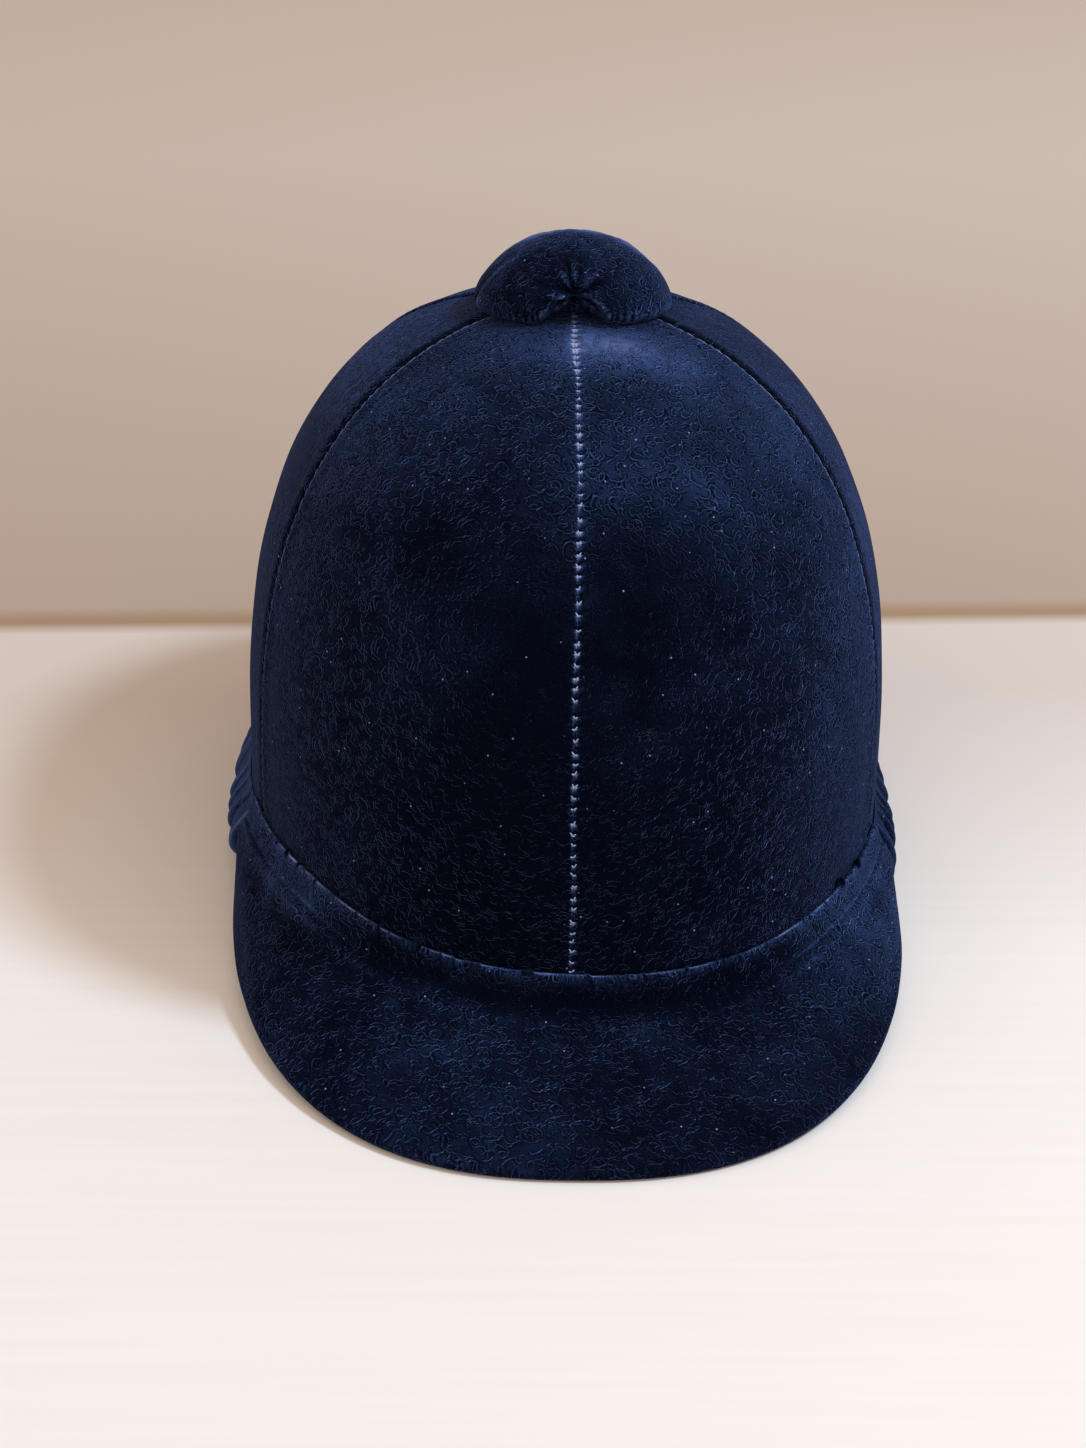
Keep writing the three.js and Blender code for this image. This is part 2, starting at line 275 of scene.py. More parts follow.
class HuntCapSizes(bpy.types.PropertyGroup):
    """Sizes of the sewing and folding"""
    stitch_pitch: length_property(
        "Stitch pitch", "From one stitch of a seam to the next", 0.0033, 0.001, 0.02)
    thread_width: length_property(
        "Thread width", "Thickness of the thread that shows in the centre seams", 0.00042, 0.0001, 0.003)
    pleat_depth: bpy.props.FloatProperty(
        name="Pleat depth", description="Depth of the band's folds, as a share of how far it stands off",
        default=0.46, min=0.0, max=0.9, subtype="FACTOR")
    collar_nick: length_property(
        "Collar nick", "Depth of the small nicks in the collar's folded edge", 0.00055, 0.0, 0.003)
    button_tuck: length_property(
        "Button tuck", "Depth of the tucks round the button's notch", 0.0009, 0.0, 0.003)


class HuntCapColours(bpy.types.PropertyGroup):
    """Colours of the velvet, the thread, the lining side and the floor"""
    # The nap mixes between velvet shade and velvet light, so besides pile brushed down and up they stand
    # in for shaded and lit pile where light and shade are painted.
    velvet_shade: colour_property("Velvet shade", "Navy of the pile where it leans away", "#030716")
    velvet_light: colour_property("Velvet light", "Navy of the pile where it is brushed up", "#4864A4")
    # Velvet worn is also the colour of the painted highlights and sheen on edges, rims and crests.
    velvet_worn_and_highlight: colour_property("Velvet worn", "Greyed lavender of the pile on rubbed edges", "#A2ABD6")
    sheen: colour_property("Sheen", "Blue that the pile shows at a grazing angle", "#6782CC")
    lint: colour_property("Lint", "Pale blue of the specks of lint", "#8796C4")
    thread: colour_property("Thread", "Grey blue of the sewing thread", "#A3B6EA")
    inside: colour_property("Inside", "Black of the woven cloth on the inner faces", "#15161B")
    floor: colour_property("Floor", "Warm white of the floor", "#F3EEEB")
    # The floor's grain and its painted shade towards the wall share one colour; the floor line is a
    # painted shadow.
    floor_shade_and_grain: colour_property("Floor dimmed", "Beige grey that the floor dims to behind", "#D3C8C1")
    floor_shadow_line: colour_property("Floor line", "Brown of the line between floor and wall", "#A3886F")
    wall_low: colour_property("Wall low", "Beige of the wall's foot", "#B19F92")
    wall_high: colour_property("Wall high", "Lighter beige of the wall further up", "#C6BAB1")


# Shapes of the crown, in millimetres before they are moved to the origin

def signed_power(value, power):
    return np.sign(value) * np.abs(value) ** power


def mix(low, high, share):
    return low + (high - low) * share


def smooth_step(value, low, high):
    share = np.clip((value - low) / (high - low), 0.0, 1.0)
    return share * share * (3 - 2 * share)


def fade(value, low, high):
    return 1 - smooth_step(value, low, high)


def hump(distance, width):
    return np.exp(-(distance / width) ** 2)


def rolled_under(share):
    """How far a rolled edge drops, in its own radius, from 0 off the roll to -1 at its end."""
    return np.sqrt(1 - share ** 2) - 1


def unit(vectors):
    return vectors / np.maximum(np.linalg.norm(vectors, axis=-1, keepdims=True), 1e-9)


def lean_back(x, y, z):
    """Turns the upright crown back by its lean and sets it at its height."""
    from_back = y - CROWN["half_length"]
    lean = CROWN["lean"]
    back = CROWN["half_length"] + from_back * math.cos(lean) + z * math.sin(lean)
    up = -from_back * math.sin(lean) + z * math.cos(lean) + CROWN["base_height"]
    return np.stack(np.broadcast_arrays(x, back + CROWN_BEHIND_ORIGIN, up), axis=-1)


def crown_point(turn, climb, stand):
    """A point that stands off the crown; turn 0 is the front and grows to the wearer's left."""
    share = np.clip(climb, 0, None) / (CROWN["dome_height"] + stand)
    spread = (1 - np.clip(share, 0, 1) ** CROWN["rise_power"]) ** (1 / CROWN["shoulder_power"])
    angle = np.radians(turn)
    x = (CROWN["half_width"] + stand) * spread * signed_power(np.sin(angle), 2 / CROWN["plan_power"])
    y = -(CROWN["half_length"] + stand) * spread * signed_power(np.cos(angle), 2 / CROWN["plan_power"])
    return lean_back(x, y, climb)


def climb_at_height(turn, height, stand):
    """The climb at which the crown's upright lower wall has this height."""
    y = -(CROWN["half_length"] + stand) * signed_power(np.cos(np.radians(turn)), 2 / CROWN["plan_power"])
    from_back = y - CROWN["half_length"]
    return (height - CROWN["base_height"] + from_back * math.sin(CROWN["lean"])) / math.cos(CROWN["lean"])


def rim_height(turn):
    return CROWN["rim_lift"] * np.clip(np.cos(np.radians(turn)), 0, None) ** 2


def grid_normals(points):
    """Unit normals of a grid of points [row, column], outwards where columns run with the turn."""
    return unit(np.cross(np.gradient(points, axis=1), np.gradient(points, axis=0)))


def stitch_phase(along, pitch, seed):
    """Counts stitches along a seam, sewn by hand and so not quite even."""
    wander = 0.16 * np.sin(along * 0.23 + seed) + 0.10 * np.sin(along * 0.61 + 2.3 * seed)
    return along / pitch + wander


def soft_waves(along, across, seed):
    """Slow unevenness of cloth over a stiff shell, about -1 to 1."""
    return (
        0.5 * np.sin(along * 0.071 + 1.3 * seed) * np.cos(across * 0.093 + seed)
        + 0.3 * np.sin(along * 0.137 - across * 0.11 + 2.1 * seed)
        + 0.2 * np.cos(along * 0.21 + across * 0.17 + 0.7 * seed)
    )


def seam_relief(edge, along, across, pitch, seed):
    """Beside a seam: the height, how far the edge is drawn back, and the painted light and shade in the
    nap.
    """
    style = dict(zip(SEAM_MEASURES, SEAM_EDGES[edge]))
    phase = stitch_phase(along, pitch, seed)
    uneven = 0.85 + 0.25 * np.sin(along * 0.19 + 3 * seed) + 0.2 * np.sin(np.floor(phase) * 2.1 + seed)
    at_edge = np.abs(np.sin(math.pi * phase))
    height = style["roll"] * rolled_under(np.clip(1 - across / style["roll"], 0, 1))
    height = height + style["swell"] * hump(across - style["place"], style["width"])
    height = height - style["sink"] * hump(across, SINK_WIDTH)

    # Each puff rises from the stitch below it to a rim under the stitch above it.
    slanted = phase - style["slant"] * np.clip(across - 0.8, 0, None)
    climbed = slanted - np.floor(slanted)
    puff = smooth_step(climbed, 0.16, 0.84) * fade(climbed, 0.90, 1.0)
    body = smooth_step(climbed, 0.12, 0.72) * fade(climbed, 0.90, 0.97)
    near_edge = hump(across - 0.3, style["reach"])
    height = height + style["puff"] * uneven * (puff - 0.4) * near_edge
    drawn_back = style["draw"] * (1 - at_edge ** 0.7) * hump(across, 1.3)

    # Painted light and shade: a highlight on a proud edge or shade in a sunk groove, highlights on the
    # puffs and their upper rims, their feet darker, and a faint glow or shade beside the seam.
    nap_and_shading = style["edge_shading"] * hump(across - 0.15, style["edge_width"]) * (0.55 + 0.45 * at_edge)
    nap_and_shading = nap_and_shading + style["puff_highlight"] * uneven * body * hump(across, 0.72)
    nap_and_shading = nap_and_shading + style["reach_shading"] * uneven * (puff - 0.35) * near_edge
    nap_and_shading = nap_and_shading + style["rim_highlight"] * uneven * hump(climbed - 0.86, 0.09) * hump(across, 0.9)
    nap_and_shading = nap_and_shading + style["beside_shading"] * hump(across - 1.0, 3.2)
    if edge in ("puffed", "plain"):
        # Each stitch hole is painted dark as shade.
        along_hole = hump(climbed - STITCH_HOLE["place"], STITCH_HOLE["length"])
        hole = along_hole * hump(across, STITCH_HOLE["width"])
        height = height - STITCH_HOLE["depth"] * hole
        nap_and_shading = nap_and_shading + STITCH_HOLE["nap_and_shading"] * hole
    return height, drawn_back, nap_and_shading


def panel_rows(turns, rows):
    """Climbs of evenly spaced rows up each column, and how far along the column each row lies."""
    apex_angle = math.acos(CROWN["apex_share"] ** (CROWN["shoulder_power"] / 2))
    rim_climb = climb_at_height(turns, rim_height(turns), 0.0)
    skirt = np.linspace(0, 1, 40)[:-1]
    dome_angle = apex_angle * np.linspace(0, 1, 1200) ** 1.6
    dome_climb = CROWN["dome_height"] * np.sin(dome_angle) ** (2 / CROWN["rise_power"])
    climbs = np.empty((rows + 1, len(turns)))
    lengths = np.empty((rows + 1, len(turns)))
    for column, turn in enumerate(turns):
        climb = np.concatenate([rim_climb[column] * (1 - skirt), dome_climb])
        points = crown_point(np.full_like(climb, turn), climb, 0.0)
        steps = np.linalg.norm(np.diff(points, axis=0), axis=1)
        travelled = np.concatenate([[0.0], np.cumsum(steps)])
        lengths[:, column] = np.linspace(0, travelled[-1], rows + 1)
        place = np.interp(lengths[:, column], travelled, np.arange(len(climb)))
        whole = np.clip(place.astype(int), 0, len(climb) - 2)
        part = place - whole
        climbs[:, column] = mix(climb[whole], climb[whole + 1], part)
    return climbs, lengths


# How far from the centre seam the velvet strays with it, in millimetres.
WANDER_REACH = 14.0


def seam_wander(along):
    """How far the centre seam strays to the wearer's left of the middle, in millimetres."""
    return 0.35 * np.sin(along * 0.045 + 0.6) + 0.16 * np.sin(along * 0.17) + 0.3 * (along / 200 - 0.5)


# Places where the crown's tone is made lighter or darker: some where a hand has brushed its pile up or
# down, many as painted light and shade, lighter on the side towards the window and darker on the side
# away from it and low on the front. x, y and z, how far it spreads, in millimetres, and how much
# lighter or darker it lies.
CROWN_BRUSHED_AND_SHADED = [
    (9.0, -1.0, 171.5, 13.0, 0.66),
    (-9.0, -2.0, 171.5, 13.0, 0.36),
    (31.0, -17.0, 164.0, 22.0, 0.10),
    (27.0, -2.0, 168.0, 14.0, 0.42),
    (-26.0, -2.0, 168.0, 13.0, 0.16),
    (20.0, -43.0, 156.0, 15.0, 0.24),
    (19.0, -62.0, 143.0, 11.0, -0.10),
    (97.0, -5.0, 100.0, 40.0, 0.26),
    (80.0, 0.0, 150.0, 32.0, 0.28),
    (-84.0, -44.0, 84.0, 34.0, -0.28),
    (-68.0, -66.0, 62.0, 24.0, -0.12),
    (-66.0, 24.0, 150.0, 22.0, -0.10),
    (88.0, -26.0, 96.0, 16.0, 0.13),
    (-84.0, -6.0, 138.0, 28.0, -0.14),
    (-80.0, -66.0, 34.0, 26.0, -0.14),
    (-22.0, -52.0, 148.0, 18.0, -0.10),
    (14.0, -88.0, 92.0, 22.0, 0.10),
    (51.0, -24.0, 153.0, 19.0, 0.12),
    (24.0, -38.0, 158.0, 9.0, -0.10),
    (-21.0, -33.0, 161.0, 22.0, -0.05),
    (11.0, -80.0, 118.0, 19.0, -0.12),
    (9.0, -86.0, 103.0, 3.6, 0.16),
    (12.0, -84.0, 108.0, 3.0, 0.12),
    (-42.0, -61.0, 132.0, 26.0, -0.08),
    (74.0, -46.0, 110.0, 24.0, 0.19),
    (42.0, -78.0, 92.0, 20.0, -0.07),
    (0.0, -98.0, 56.0, 44.0, -0.28),
]


def brushed_and_shaded(points, places):
    """How much lighter or darker each point is painted for the listed places, brushed pile and painted
    light alike.
    """
    total = np.zeros(points.shape[:-1])
    for x, y, z, spread, amount in places:
        total += amount * hump(np.linalg.norm(points - np.array((x, y, z)), axis=-1), spread)
    return total


def crown_panel_points(panel, pitch):
    """Grids [row, column] of a panel's outer and inner face, and of its nap with painted light and shade.
    """
    _, turn_from, turn_to, columns, rows, first_edge, last_edge = panel
    share = np.linspace(0, 1, columns + 1)
    graded = mix(share, 0.5 - 0.5 * np.cos(math.pi * share), 0.87)
    turns = mix(turn_from, turn_to, graded)
    climbs, lengths = panel_rows(turns, rows)
    turn_grid = np.broadcast_to(turns, climbs.shape)
    base = crown_point(turn_grid, climbs, 0.0)
    steps = np.linalg.norm(np.diff(base, axis=1), axis=2)
    from_first = np.concatenate([np.zeros((rows + 1, 1)), np.cumsum(steps, axis=1)], axis=1)
    from_last = from_first[:, -1:] - from_first
    seam_first = lengths[:, :1]
    seam_last = lengths[:, -1:]
    first_seed, last_seed = (SEAM_TURNS.index(turn % 360.0) for turn in (turn_from, turn_to))
    height, drawn_first, nap_and_shading = seam_relief(first_edge, seam_first, from_first, pitch, first_seed)
    more_height, drawn_last, more_seam_shading = seam_relief(last_edge, seam_last, from_last, pitch, last_seed)
    near_apex = smooth_step(lengths[-1:, :] - lengths, 2.0, 14.0)
    height = (height + more_height) * (0.35 + 0.65 * near_apex)
    wave_seed = 1.7 * PANELS.index(panel)
    height = height + 0.22 * soft_waves(lengths, from_first, wave_seed) * smooth_step(from_first, 3, 18)
    height = height + CROWN["rim_roll"] * rolled_under(np.clip(1 - lengths / CROWN["rim_roll"], 0, 1))
    outer = base + grid_normals(base) * height[..., None]
    outer = outer + unit(np.gradient(base, axis=1)) * (drawn_first - drawn_last)[..., None]
    if turn_from == 0.0:
        outer[..., 0] += seam_wander(seam_first) * hump(from_first, WANDER_REACH)
    if turn_to == 360.0:
        outer[..., 0] += seam_wander(seam_last) * hump(from_last, WANDER_REACH)
    rim_inner = climb_at_height(turn_grid, rim_height(turn_grid), -CROWN["wall"])
    skirt_share = np.clip(climbs / np.minimum(climbs[:1], -1e-6), 0, 1)
    inner_climb = np.where(
        climbs < 0, rim_inner * skirt_share,
        climbs * (CROWN["dome_height"] - CROWN["wall"]) / CROWN["dome_height"])
    inner = crown_point(turn_grid, inner_climb, -CROWN["wall"])
    # Painted light and shade: the seams' and the listed places' tone, and the crown painted lighter
    # towards its top, as light from above would make it.
    nap_and_shading = nap_and_shading + more_seam_shading + brushed_and_shaded(outer, CROWN_BRUSHED_AND_SHADED)
    nap_and_shading = nap_and_shading + 0.24 * (smooth_step(outer[..., 2], 70, 178) - 0.4)
    return outer, inner, nap_and_shading


# The cover of the peak and the collar

def collar_top_climb(turn):
    angle = np.radians(turn)
    end_drop = np.where(np.asarray(turn) > 0, COLLAR["left_end_drop"], COLLAR["right_end_drop"])
    return (
        COLLAR["top_climb_front"]
        + COLLAR["top_climb_rise"] * (1 - np.cos(angle))
        - COLLAR["lopsided_climb"] * np.sin(angle)
        - end_drop * smooth_step(np.abs(turn), 40, 72)
    )


def end_share(turn):
    return smooth_step(np.abs(turn), 0, PEAK["end_turn"])


def peak_root_climb(turn):
    return collar_top_climb(turn) - mix(COLLAR["height_front"], COLLAR["height_side"], end_share(turn))


def peak_middle(turn, along):
    """A point of the peak's middle surface, from its root on the crown to its edge."""
    stand = mix(PEAK["root_stand_front"], PEAK["root_stand_side"], end_share(turn))
    root = crown_point(turn, peak_root_climb(turn), stand)
    share = np.clip(turn / PEAK["end_turn"], -1, 1)
    angle = np.radians(90 * share)
    edge_y = PEAK["widest_y"] - PEAK["reach"] * signed_power(np.cos(angle), 2 / PEAK["plan_power"])
    towards_corner = np.clip(edge_y - (PEAK["widest_y"] - PEAK["reach"]), 0, None) / PEAK["reach"]
    edge_x = PEAK["half_width"] * signed_power(np.sin(angle), 2 / PEAK["plan_power"])
    edge_z = PEAK["thickness"] / 2 + PEAK["corner_lift"] * towards_corner ** PEAK["lift_power"]
    right_corner = np.clip(-share, 0, 1) ** 10
    edge_y = edge_y + PEAK["right_corner_back"] * right_corner
    edge_z = edge_z + PEAK["right_corner_up"] * right_corner
    edge = np.stack([edge_x + 1.2 * np.cos(angle) ** 0.5, edge_y + CROWN_BEHIND_ORIGIN, edge_z], axis=-1)
    return root + (edge - root) * along


def peak_point(turn, along, past, thick):
    """A point of the cover: how far past the peak's edge and how thick, in half thicknesses."""
    sideways = peak_middle(turn + 0.4, along) - peak_middle(turn - 0.4, along)
    inwards = peak_middle(turn, along - 0.02) - peak_middle(turn, along + 0.02)
    outwards = unit(peak_middle(turn, 1.0) - peak_middle(turn, 0.0))
    half = PEAK["thickness"] / 2
    lift = PEAK["doming"] * math.sin(math.pi * min(max(along, 0.0), 1.0))
    normal = unit(np.cross(sideways, inwards))
    return peak_middle(turn, along) + outwards * past * half + normal * (lift + thick * half)


def drawn_through(lines, counts, closed):
    """Smooth rows through lines [line, column], with a count of rows from each line to the next."""
    total = len(lines)
    chords = np.linalg.norm(np.roll(lines, -1, axis=0) - lines, axis=-1).mean(axis=1)
    gaps = np.sqrt(np.maximum(chords, 1e-6))
    if not closed:
        gaps[-1] = gaps[-2]
    before = np.roll(gaps, 1)[:, None, None]
    after = gaps[:, None, None]
    forward = (np.roll(lines, -1, axis=0) - lines) / after
    backward = (lines - np.roll(lines, 1, axis=0)) / before
    slopes = (forward * before + backward * after) / (before + after)
    if not closed:
        slopes[0] = forward[0]
        slopes[-1] = backward[-1]
    rows = []
    for line in range(total if closed else total - 1):
        start, end = lines[line], lines[(line + 1) % total]
        rise, fall = slopes[line] * gaps[line], slopes[(line + 1) % total] * gaps[line]
        for step in range(counts[line]):
            t = step / counts[line]
            rows.append(
                start * (2 * t ** 3 - 3 * t ** 2 + 1) + rise * (t ** 3 - 2 * t ** 2 + t)
                + end * (3 * t ** 2 - 2 * t ** 3) + fall * (t ** 3 - t ** 2))
    if not closed:
        rows.append(lines[-1])
    return np.array(rows)


def line_place(lines, name, value):
    """The grid row of a named line of the cover."""
    row = 0
    for line in lines:
        if line[0] == name and line[1] == value:
            return row
        row += line[-1]
    raise ValueError(f"the cover has no line {name} {value}")


def along_columns(points, middle):
    """How far along a line of points each one lies from the middle one, in millimetres."""
    steps = np.linalg.norm(np.diff(points, axis=0), axis=1)
    travelled = np.concatenate([[0.0], np.cumsum(steps)])
    return travelled - travelled[middle]


def cover_points(sizes):
    """The closed section of the cover, as a grid [row, column] round and along the peak, and its nap with
    painted light and shade.
    """
    share = np.linspace(-1, 1, COVER_COLUMNS + 1)
    turn = PEAK["end_turn"] * share
    lines = []
    for part, place, first, second, _ in COVER_LINES:
        if part == "collar":
            stand = mix(first, second, smooth_step(np.abs(turn), 10, PEAK["end_turn"]))
            foot = peak_point(turn, 0.0, 0.0, 1.0)[..., 2] + 0.3
            foot_climb = climb_at_height(turn, foot, stand)
            rounded = np.sqrt(np.clip(1 - smooth_step(np.abs(share), 0.975, 1.0) ** 2, 0, 1))
            top_climb = collar_top_climb(turn) - 3.0 * (1 - rounded)
            lines.append(crown_point(turn, mix(foot_climb, top_climb, place), stand))
        else:
            lines.append(peak_point(turn, place, first, second))
    grid = drawn_through(np.array(lines), [line[-1] for line in COVER_LINES], True)
    normals = grid_normals(np.concatenate([grid[-1:], grid, grid[:1]]))[1:-1]
    rows = np.arange(len(grid))[:, None]
    fold_row = line_place(COVER_LINES, "collar", 1.0)
    foot_row = line_place(COVER_LINES, "collar", 0.07)
    edge_row = line_place(COVER_LINES, "peak", 0.97)
    along = along_columns(grid[fold_row], COVER_COLUMNS // 2)[None, :]
    turn = turn[None, :]
    past_fold = rows - fold_row
    past_foot = rows - foot_row
    past_edge = rows - edge_row
    outside = smooth_step(past_fold, -1, 2) * fade(past_foot, 0, 6)
    height = np.zeros(grid.shape[:2])
    # A painted highlight, partly rubbed wear, along the collar's fold, weaker towards its ends, and a
    # lighter band below it.
    fold_wear_and_highlight = 1.05 - 0.75 * smooth_step(turn, 44, 58) - 0.45 * smooth_step(-turn, 58, 68)
    nap_and_shading = fold_wear_and_highlight * hump(past_fold - 1.6, 2.1) * (0.72 + 0.40 * np.sin(along * 0.31) * np.sin(along * 0.11))
    nap_and_shading = nap_and_shading + 0.34 * hump(past_fold - 5, 4.5)

    # Small uneven nicks all along the fold, and a few deep ones, each painted dark inside as shade, with a
    # painted highlight just beside it.
    count = along / NICK_PITCH + 0.35 * np.sin(along * 0.37) + 0.22 * np.sin(along * 0.83 + 1.0)
    from_nick = (count - np.round(count)) * NICK_PITCH
    nick_size = 0.55 + 0.45 * np.sin(np.round(count) * 2.4)
    nick = sizes.collar_nick / MILLIMETRE * nick_size
    height = height - nick * hump(from_nick, 0.5) * hump(past_fold - 2, 5.0)
    nap_and_shading = nap_and_shading - 0.9 * nick_size * hump(from_nick, 0.45) * hump(past_fold - 2, 4.0)
    nap_and_shading = nap_and_shading + 0.15 * nick_size * hump(from_nick - 0.8, 0.5) * hump(past_fold - 3, 4.0)
    for at, deep, wide in COLLAR_NICKS:
        from_place = along - np.interp(at, turn[0], along[0])
        nicked = hump(from_place, wide) * hump(past_fold - 1, 4.5)
        height = height - deep * nicked
        nap_and_shading = nap_and_shading - 2.2 * nicked
        nap_and_shading = nap_and_shading + 0.2 * hump(from_place - 1.7 * wide, 0.6) * hump(past_fold - 3, 5.0)

    # Laps, where one gathered stretch of the collar lies over the next, with a painted highlight on the
    # lap's edge and painted shade just under it.
    for at, thick in COLLAR_LAPS:
        from_place = along - np.interp(at, turn[0], along[0]) - 0.10 * past_fold
        lap = np.where(from_place > 0, np.exp(-np.abs(from_place) / 8.0), 0.0)
        height = height + thick * lap * smooth_step(from_place, 0, 0.6) * hump(past_fold - 3, 8.0)
        height = height - 0.45 * thick * hump(from_place + 0.5, 0.6) * hump(past_fold - 5, 9.0)
        edges = 0.2 * hump(from_place - 0.6, 0.5) - 0.5 * hump(from_place + 0.3, 0.5)
        nap_and_shading = nap_and_shading + edges * hump(past_fold - 4, 8.0)

    # Fine tucks across the fold, close together on the wearer's left and sparse elsewhere, painted lighter
    # on their crests and darker between them as light and shade.
    tucks = np.abs(np.sin(math.pi * (along + 0.12 * rows) / TUCK_PITCH)) ** 0.7 - 0.6
    tucked = 0.35 + 0.65 * smooth_step(turn, 26, 34)
    tucked = tucks * tucked * (0.5 + 0.5 * np.sin(along * 0.23 + 1.0) ** 2) * hump(past_fold - 6, 6.5)
    height = height + 0.16 * tucked
    nap_and_shading = nap_and_shading + 0.40 * tucked

    # The collar's foot: a soft valley in front with painted shade in it, a faint ridge beside the ends
    # with a painted highlight on it and painted shade at its foot, and a dotted line.
    sideways = smooth_step(np.abs(turn), 26, 46)
    height = height + 0.40 * sideways * (hump(past_foot + 4, 2.2) - 0.2 * hump(past_foot, 2.0))
    nap_and_shading = nap_and_shading + sideways * (0.40 * hump(past_foot + 4, 1.0) - 0.05 * hump(past_foot, 1.6))
    nap_and_shading = nap_and_shading - 0.26 * (1 - sideways) * hump(past_foot + 8, 8.0)
    dotted = 0.5 + 0.5 * np.sin(along * 0.21) * np.sin(along * 1.9)
    nap_and_shading = nap_and_shading + 0.32 * hump(past_foot - 2, 0.9) * dotted
    nap_and_shading = nap_and_shading + 0.16 * sideways * outside

    # Soft unevenness, and long low creases that run from the collar's foot out over the peak, painted
    # lighter on their ridges and darker in their hollows. Then a lighter line near the peak's edge, a tone
    # that changes from one side of the collar to the other, and the listed places.
    on_top = smooth_step(past_foot, -2, 8) * fade(past_edge, 0, 8)
    height = height + 0.34 * soft_waves(along, rows * 1.4, 0.8) * on_top
    height = height + 0.22 * soft_waves(along * 2.1, rows * 3.1, 2.2) * on_top
    creases = np.sin(along * 0.16 + rows * 0.05) * np.sin(along * 0.41 - rows * 0.09 + 1.0)
    height = height + 0.20 * creases * hump(past_foot - 3, 12.0)
    nap_and_shading = nap_and_shading + 0.07 * creases * hump(past_foot - 3, 14.0)
    nap_and_shading = nap_and_shading + 0.10 * hump(past_edge - 4, 2.5)
    nap_and_shading = nap_and_shading - 0.14 * outside * np.sin(np.radians(turn)) + brushed_and_shaded(grid, PEAK_BRUSHED_AND_SHADED) - 0.07
    return grid + normals * height[..., None], nap_and_shading


# The gathered band

def band_turns():
    """Turns of the band's columns, closer together in the folds than round the plain back."""
    fold_columns = BAND["fold_count"] * BAND["columns_per_fold"]
    last_fold = BAND["start_turn"] + BAND["fold_count"] * BAND["fold_turn"]
    front = np.linspace(BAND["start_turn"], last_fold, fold_columns + 1)
    back = np.linspace(last_fold, 360 - last_fold, BAND["back_columns"] + 1)
    return np.concatenate([front[:-1], back, (360 - front[::-1])[1:]])


def from_band_end(turn):
    """How many degrees of turn lie between a place and the band's nearer end."""
    return np.minimum(turn, 360 - turn) - BAND["start_turn"]


def near_band_end(turn):
    """1 at the band's ends, and 0 where its folds have faded out."""
    return fade(from_band_end(turn), 0, BAND["fold_turn"] * BAND["fold_count"])


def band_point(turn, height, stand):
    slant = np.where(turn < 180, BAND["left_slant"], -BAND["right_slant"])
    slanted = turn + slant * near_band_end(turn) * np.clip(1 - height / BAND["slant_height"], 0, None)
    return crown_point(slanted, climb_at_height(slanted, height, stand), stand)


def band_folds(turn, up):
    """The pleats: 1 on a crest and 0 in a valley, how strongly they show, and the two lines along which a
    highlight and shade are painted.
    """
    from_end = from_band_end(turn)
    side_seed = np.where(turn < 180, 0.0, 1.9)
    count = from_end / np.where(turn < 180, BAND["fold_turn"], BAND["right_fold_turn"])
    drift = 0.20 * np.sin(count * 1.9 + side_seed) + 0.12 * np.sin(up * 5 + count * 0.9 + side_seed)
    count = count + drift * smooth_step(count, 0, 1)
    phase = count - np.floor(count)
    steep_front = smooth_step(phase, 0.0, 0.30)
    easy_back = 1 - 0.80 * smooth_step(phase, 0.34, 1.0)
    strength = 0.80 + 0.20 * np.sin(np.floor(count) * 2.3 + side_seed)
    fading = fade(from_end / BAND["fold_turn"], BAND["fold_count"] * 0.5, BAND["fold_count"])
    return steep_front * easy_back, fading * strength, hump(phase - 0.30, 0.12), hump(phase, 0.10)


def band_points(sizes):
    """Grids [row, column] of the band's outer and inner face, and of its nap with painted light and shade.
    """
    turn = band_turns()
    on_right = turn >= 180
    near_end = near_band_end(turn)
    tall = mix(BAND["height_at_back"], BAND["height_at_ends"], near_end)
    lopsided = -COLLAR["lopsided_climb"] * np.sin(np.radians(turn)) * near_end * 0.9
    foot_lift = np.where(on_right, BAND["right_foot_lift"], 0.0)
    depth_share = np.where(on_right, BAND["right_fold_depth"], 1.0)

    # The two ends round off over half a fold.
    past_end = np.clip(from_band_end(turn) / (0.5 * BAND["fold_turn"]), 0, 1)
    end_round = np.sqrt(1 - (1 - past_end) ** 2)
    lines = []
    inner_lines = []
    nap_and_shading_lines = []
    for up, stand, _ in BAND_LINES:
        crest, strength, crest_line, valley_line = band_folds(turn, up)
        height = up * (tall + lopsided) + (0.35 if up == 0 else 0.0) + foot_lift * (1 - up) * near_end
        swelling = math.sin(math.pi * min(0.12 + 0.80 * up, 1)) ** 0.3
        depth = sizes.pleat_depth * strength * (1 - crest) * swelling * depth_share
        standing = 0.4 + (stand - 0.4) * (1 - depth) * mix(0.45, 1.0, end_round)
        lines.append(band_point(turn, height, standing))
        inner_lines.append(band_point(turn, height, np.full_like(standing, BAND["inner_stand"])))
        # A painted highlight along each crest and painted shade in each valley; the pile is also lighter
        # towards the wearer's right end.
        pile_and_fold_shading = strength * (0.42 * crest_line - 0.80 * valley_line) + 0.20 + 0.32 * near_end * on_right
        nap_and_shading_lines.append(np.repeat(pile_and_fold_shading[:, None], 3, axis=1))
    counts = [line[-1] for line in BAND_LINES]
    outer, inner, nap_and_shading = (
        drawn_through(np.array(grid), counts, False) for grid in (lines, inner_lines, nap_and_shading_lines))
    return outer, inner, nap_and_shading[..., 0]


# The button

def climb_over(x, y):
    """The climb of the crown's outer face over a point near the apex."""
    share = (
        np.abs(x / CROWN["half_width"]) ** CROWN["plan_power"]
        + np.abs(y / CROWN["half_length"]) ** CROWN["plan_power"]
    ) ** (1 / CROWN["plan_power"])
    return CROWN["dome_height"] * (1 - share ** CROWN["shoulder_power"]) ** (1 / CROWN["rise_power"])


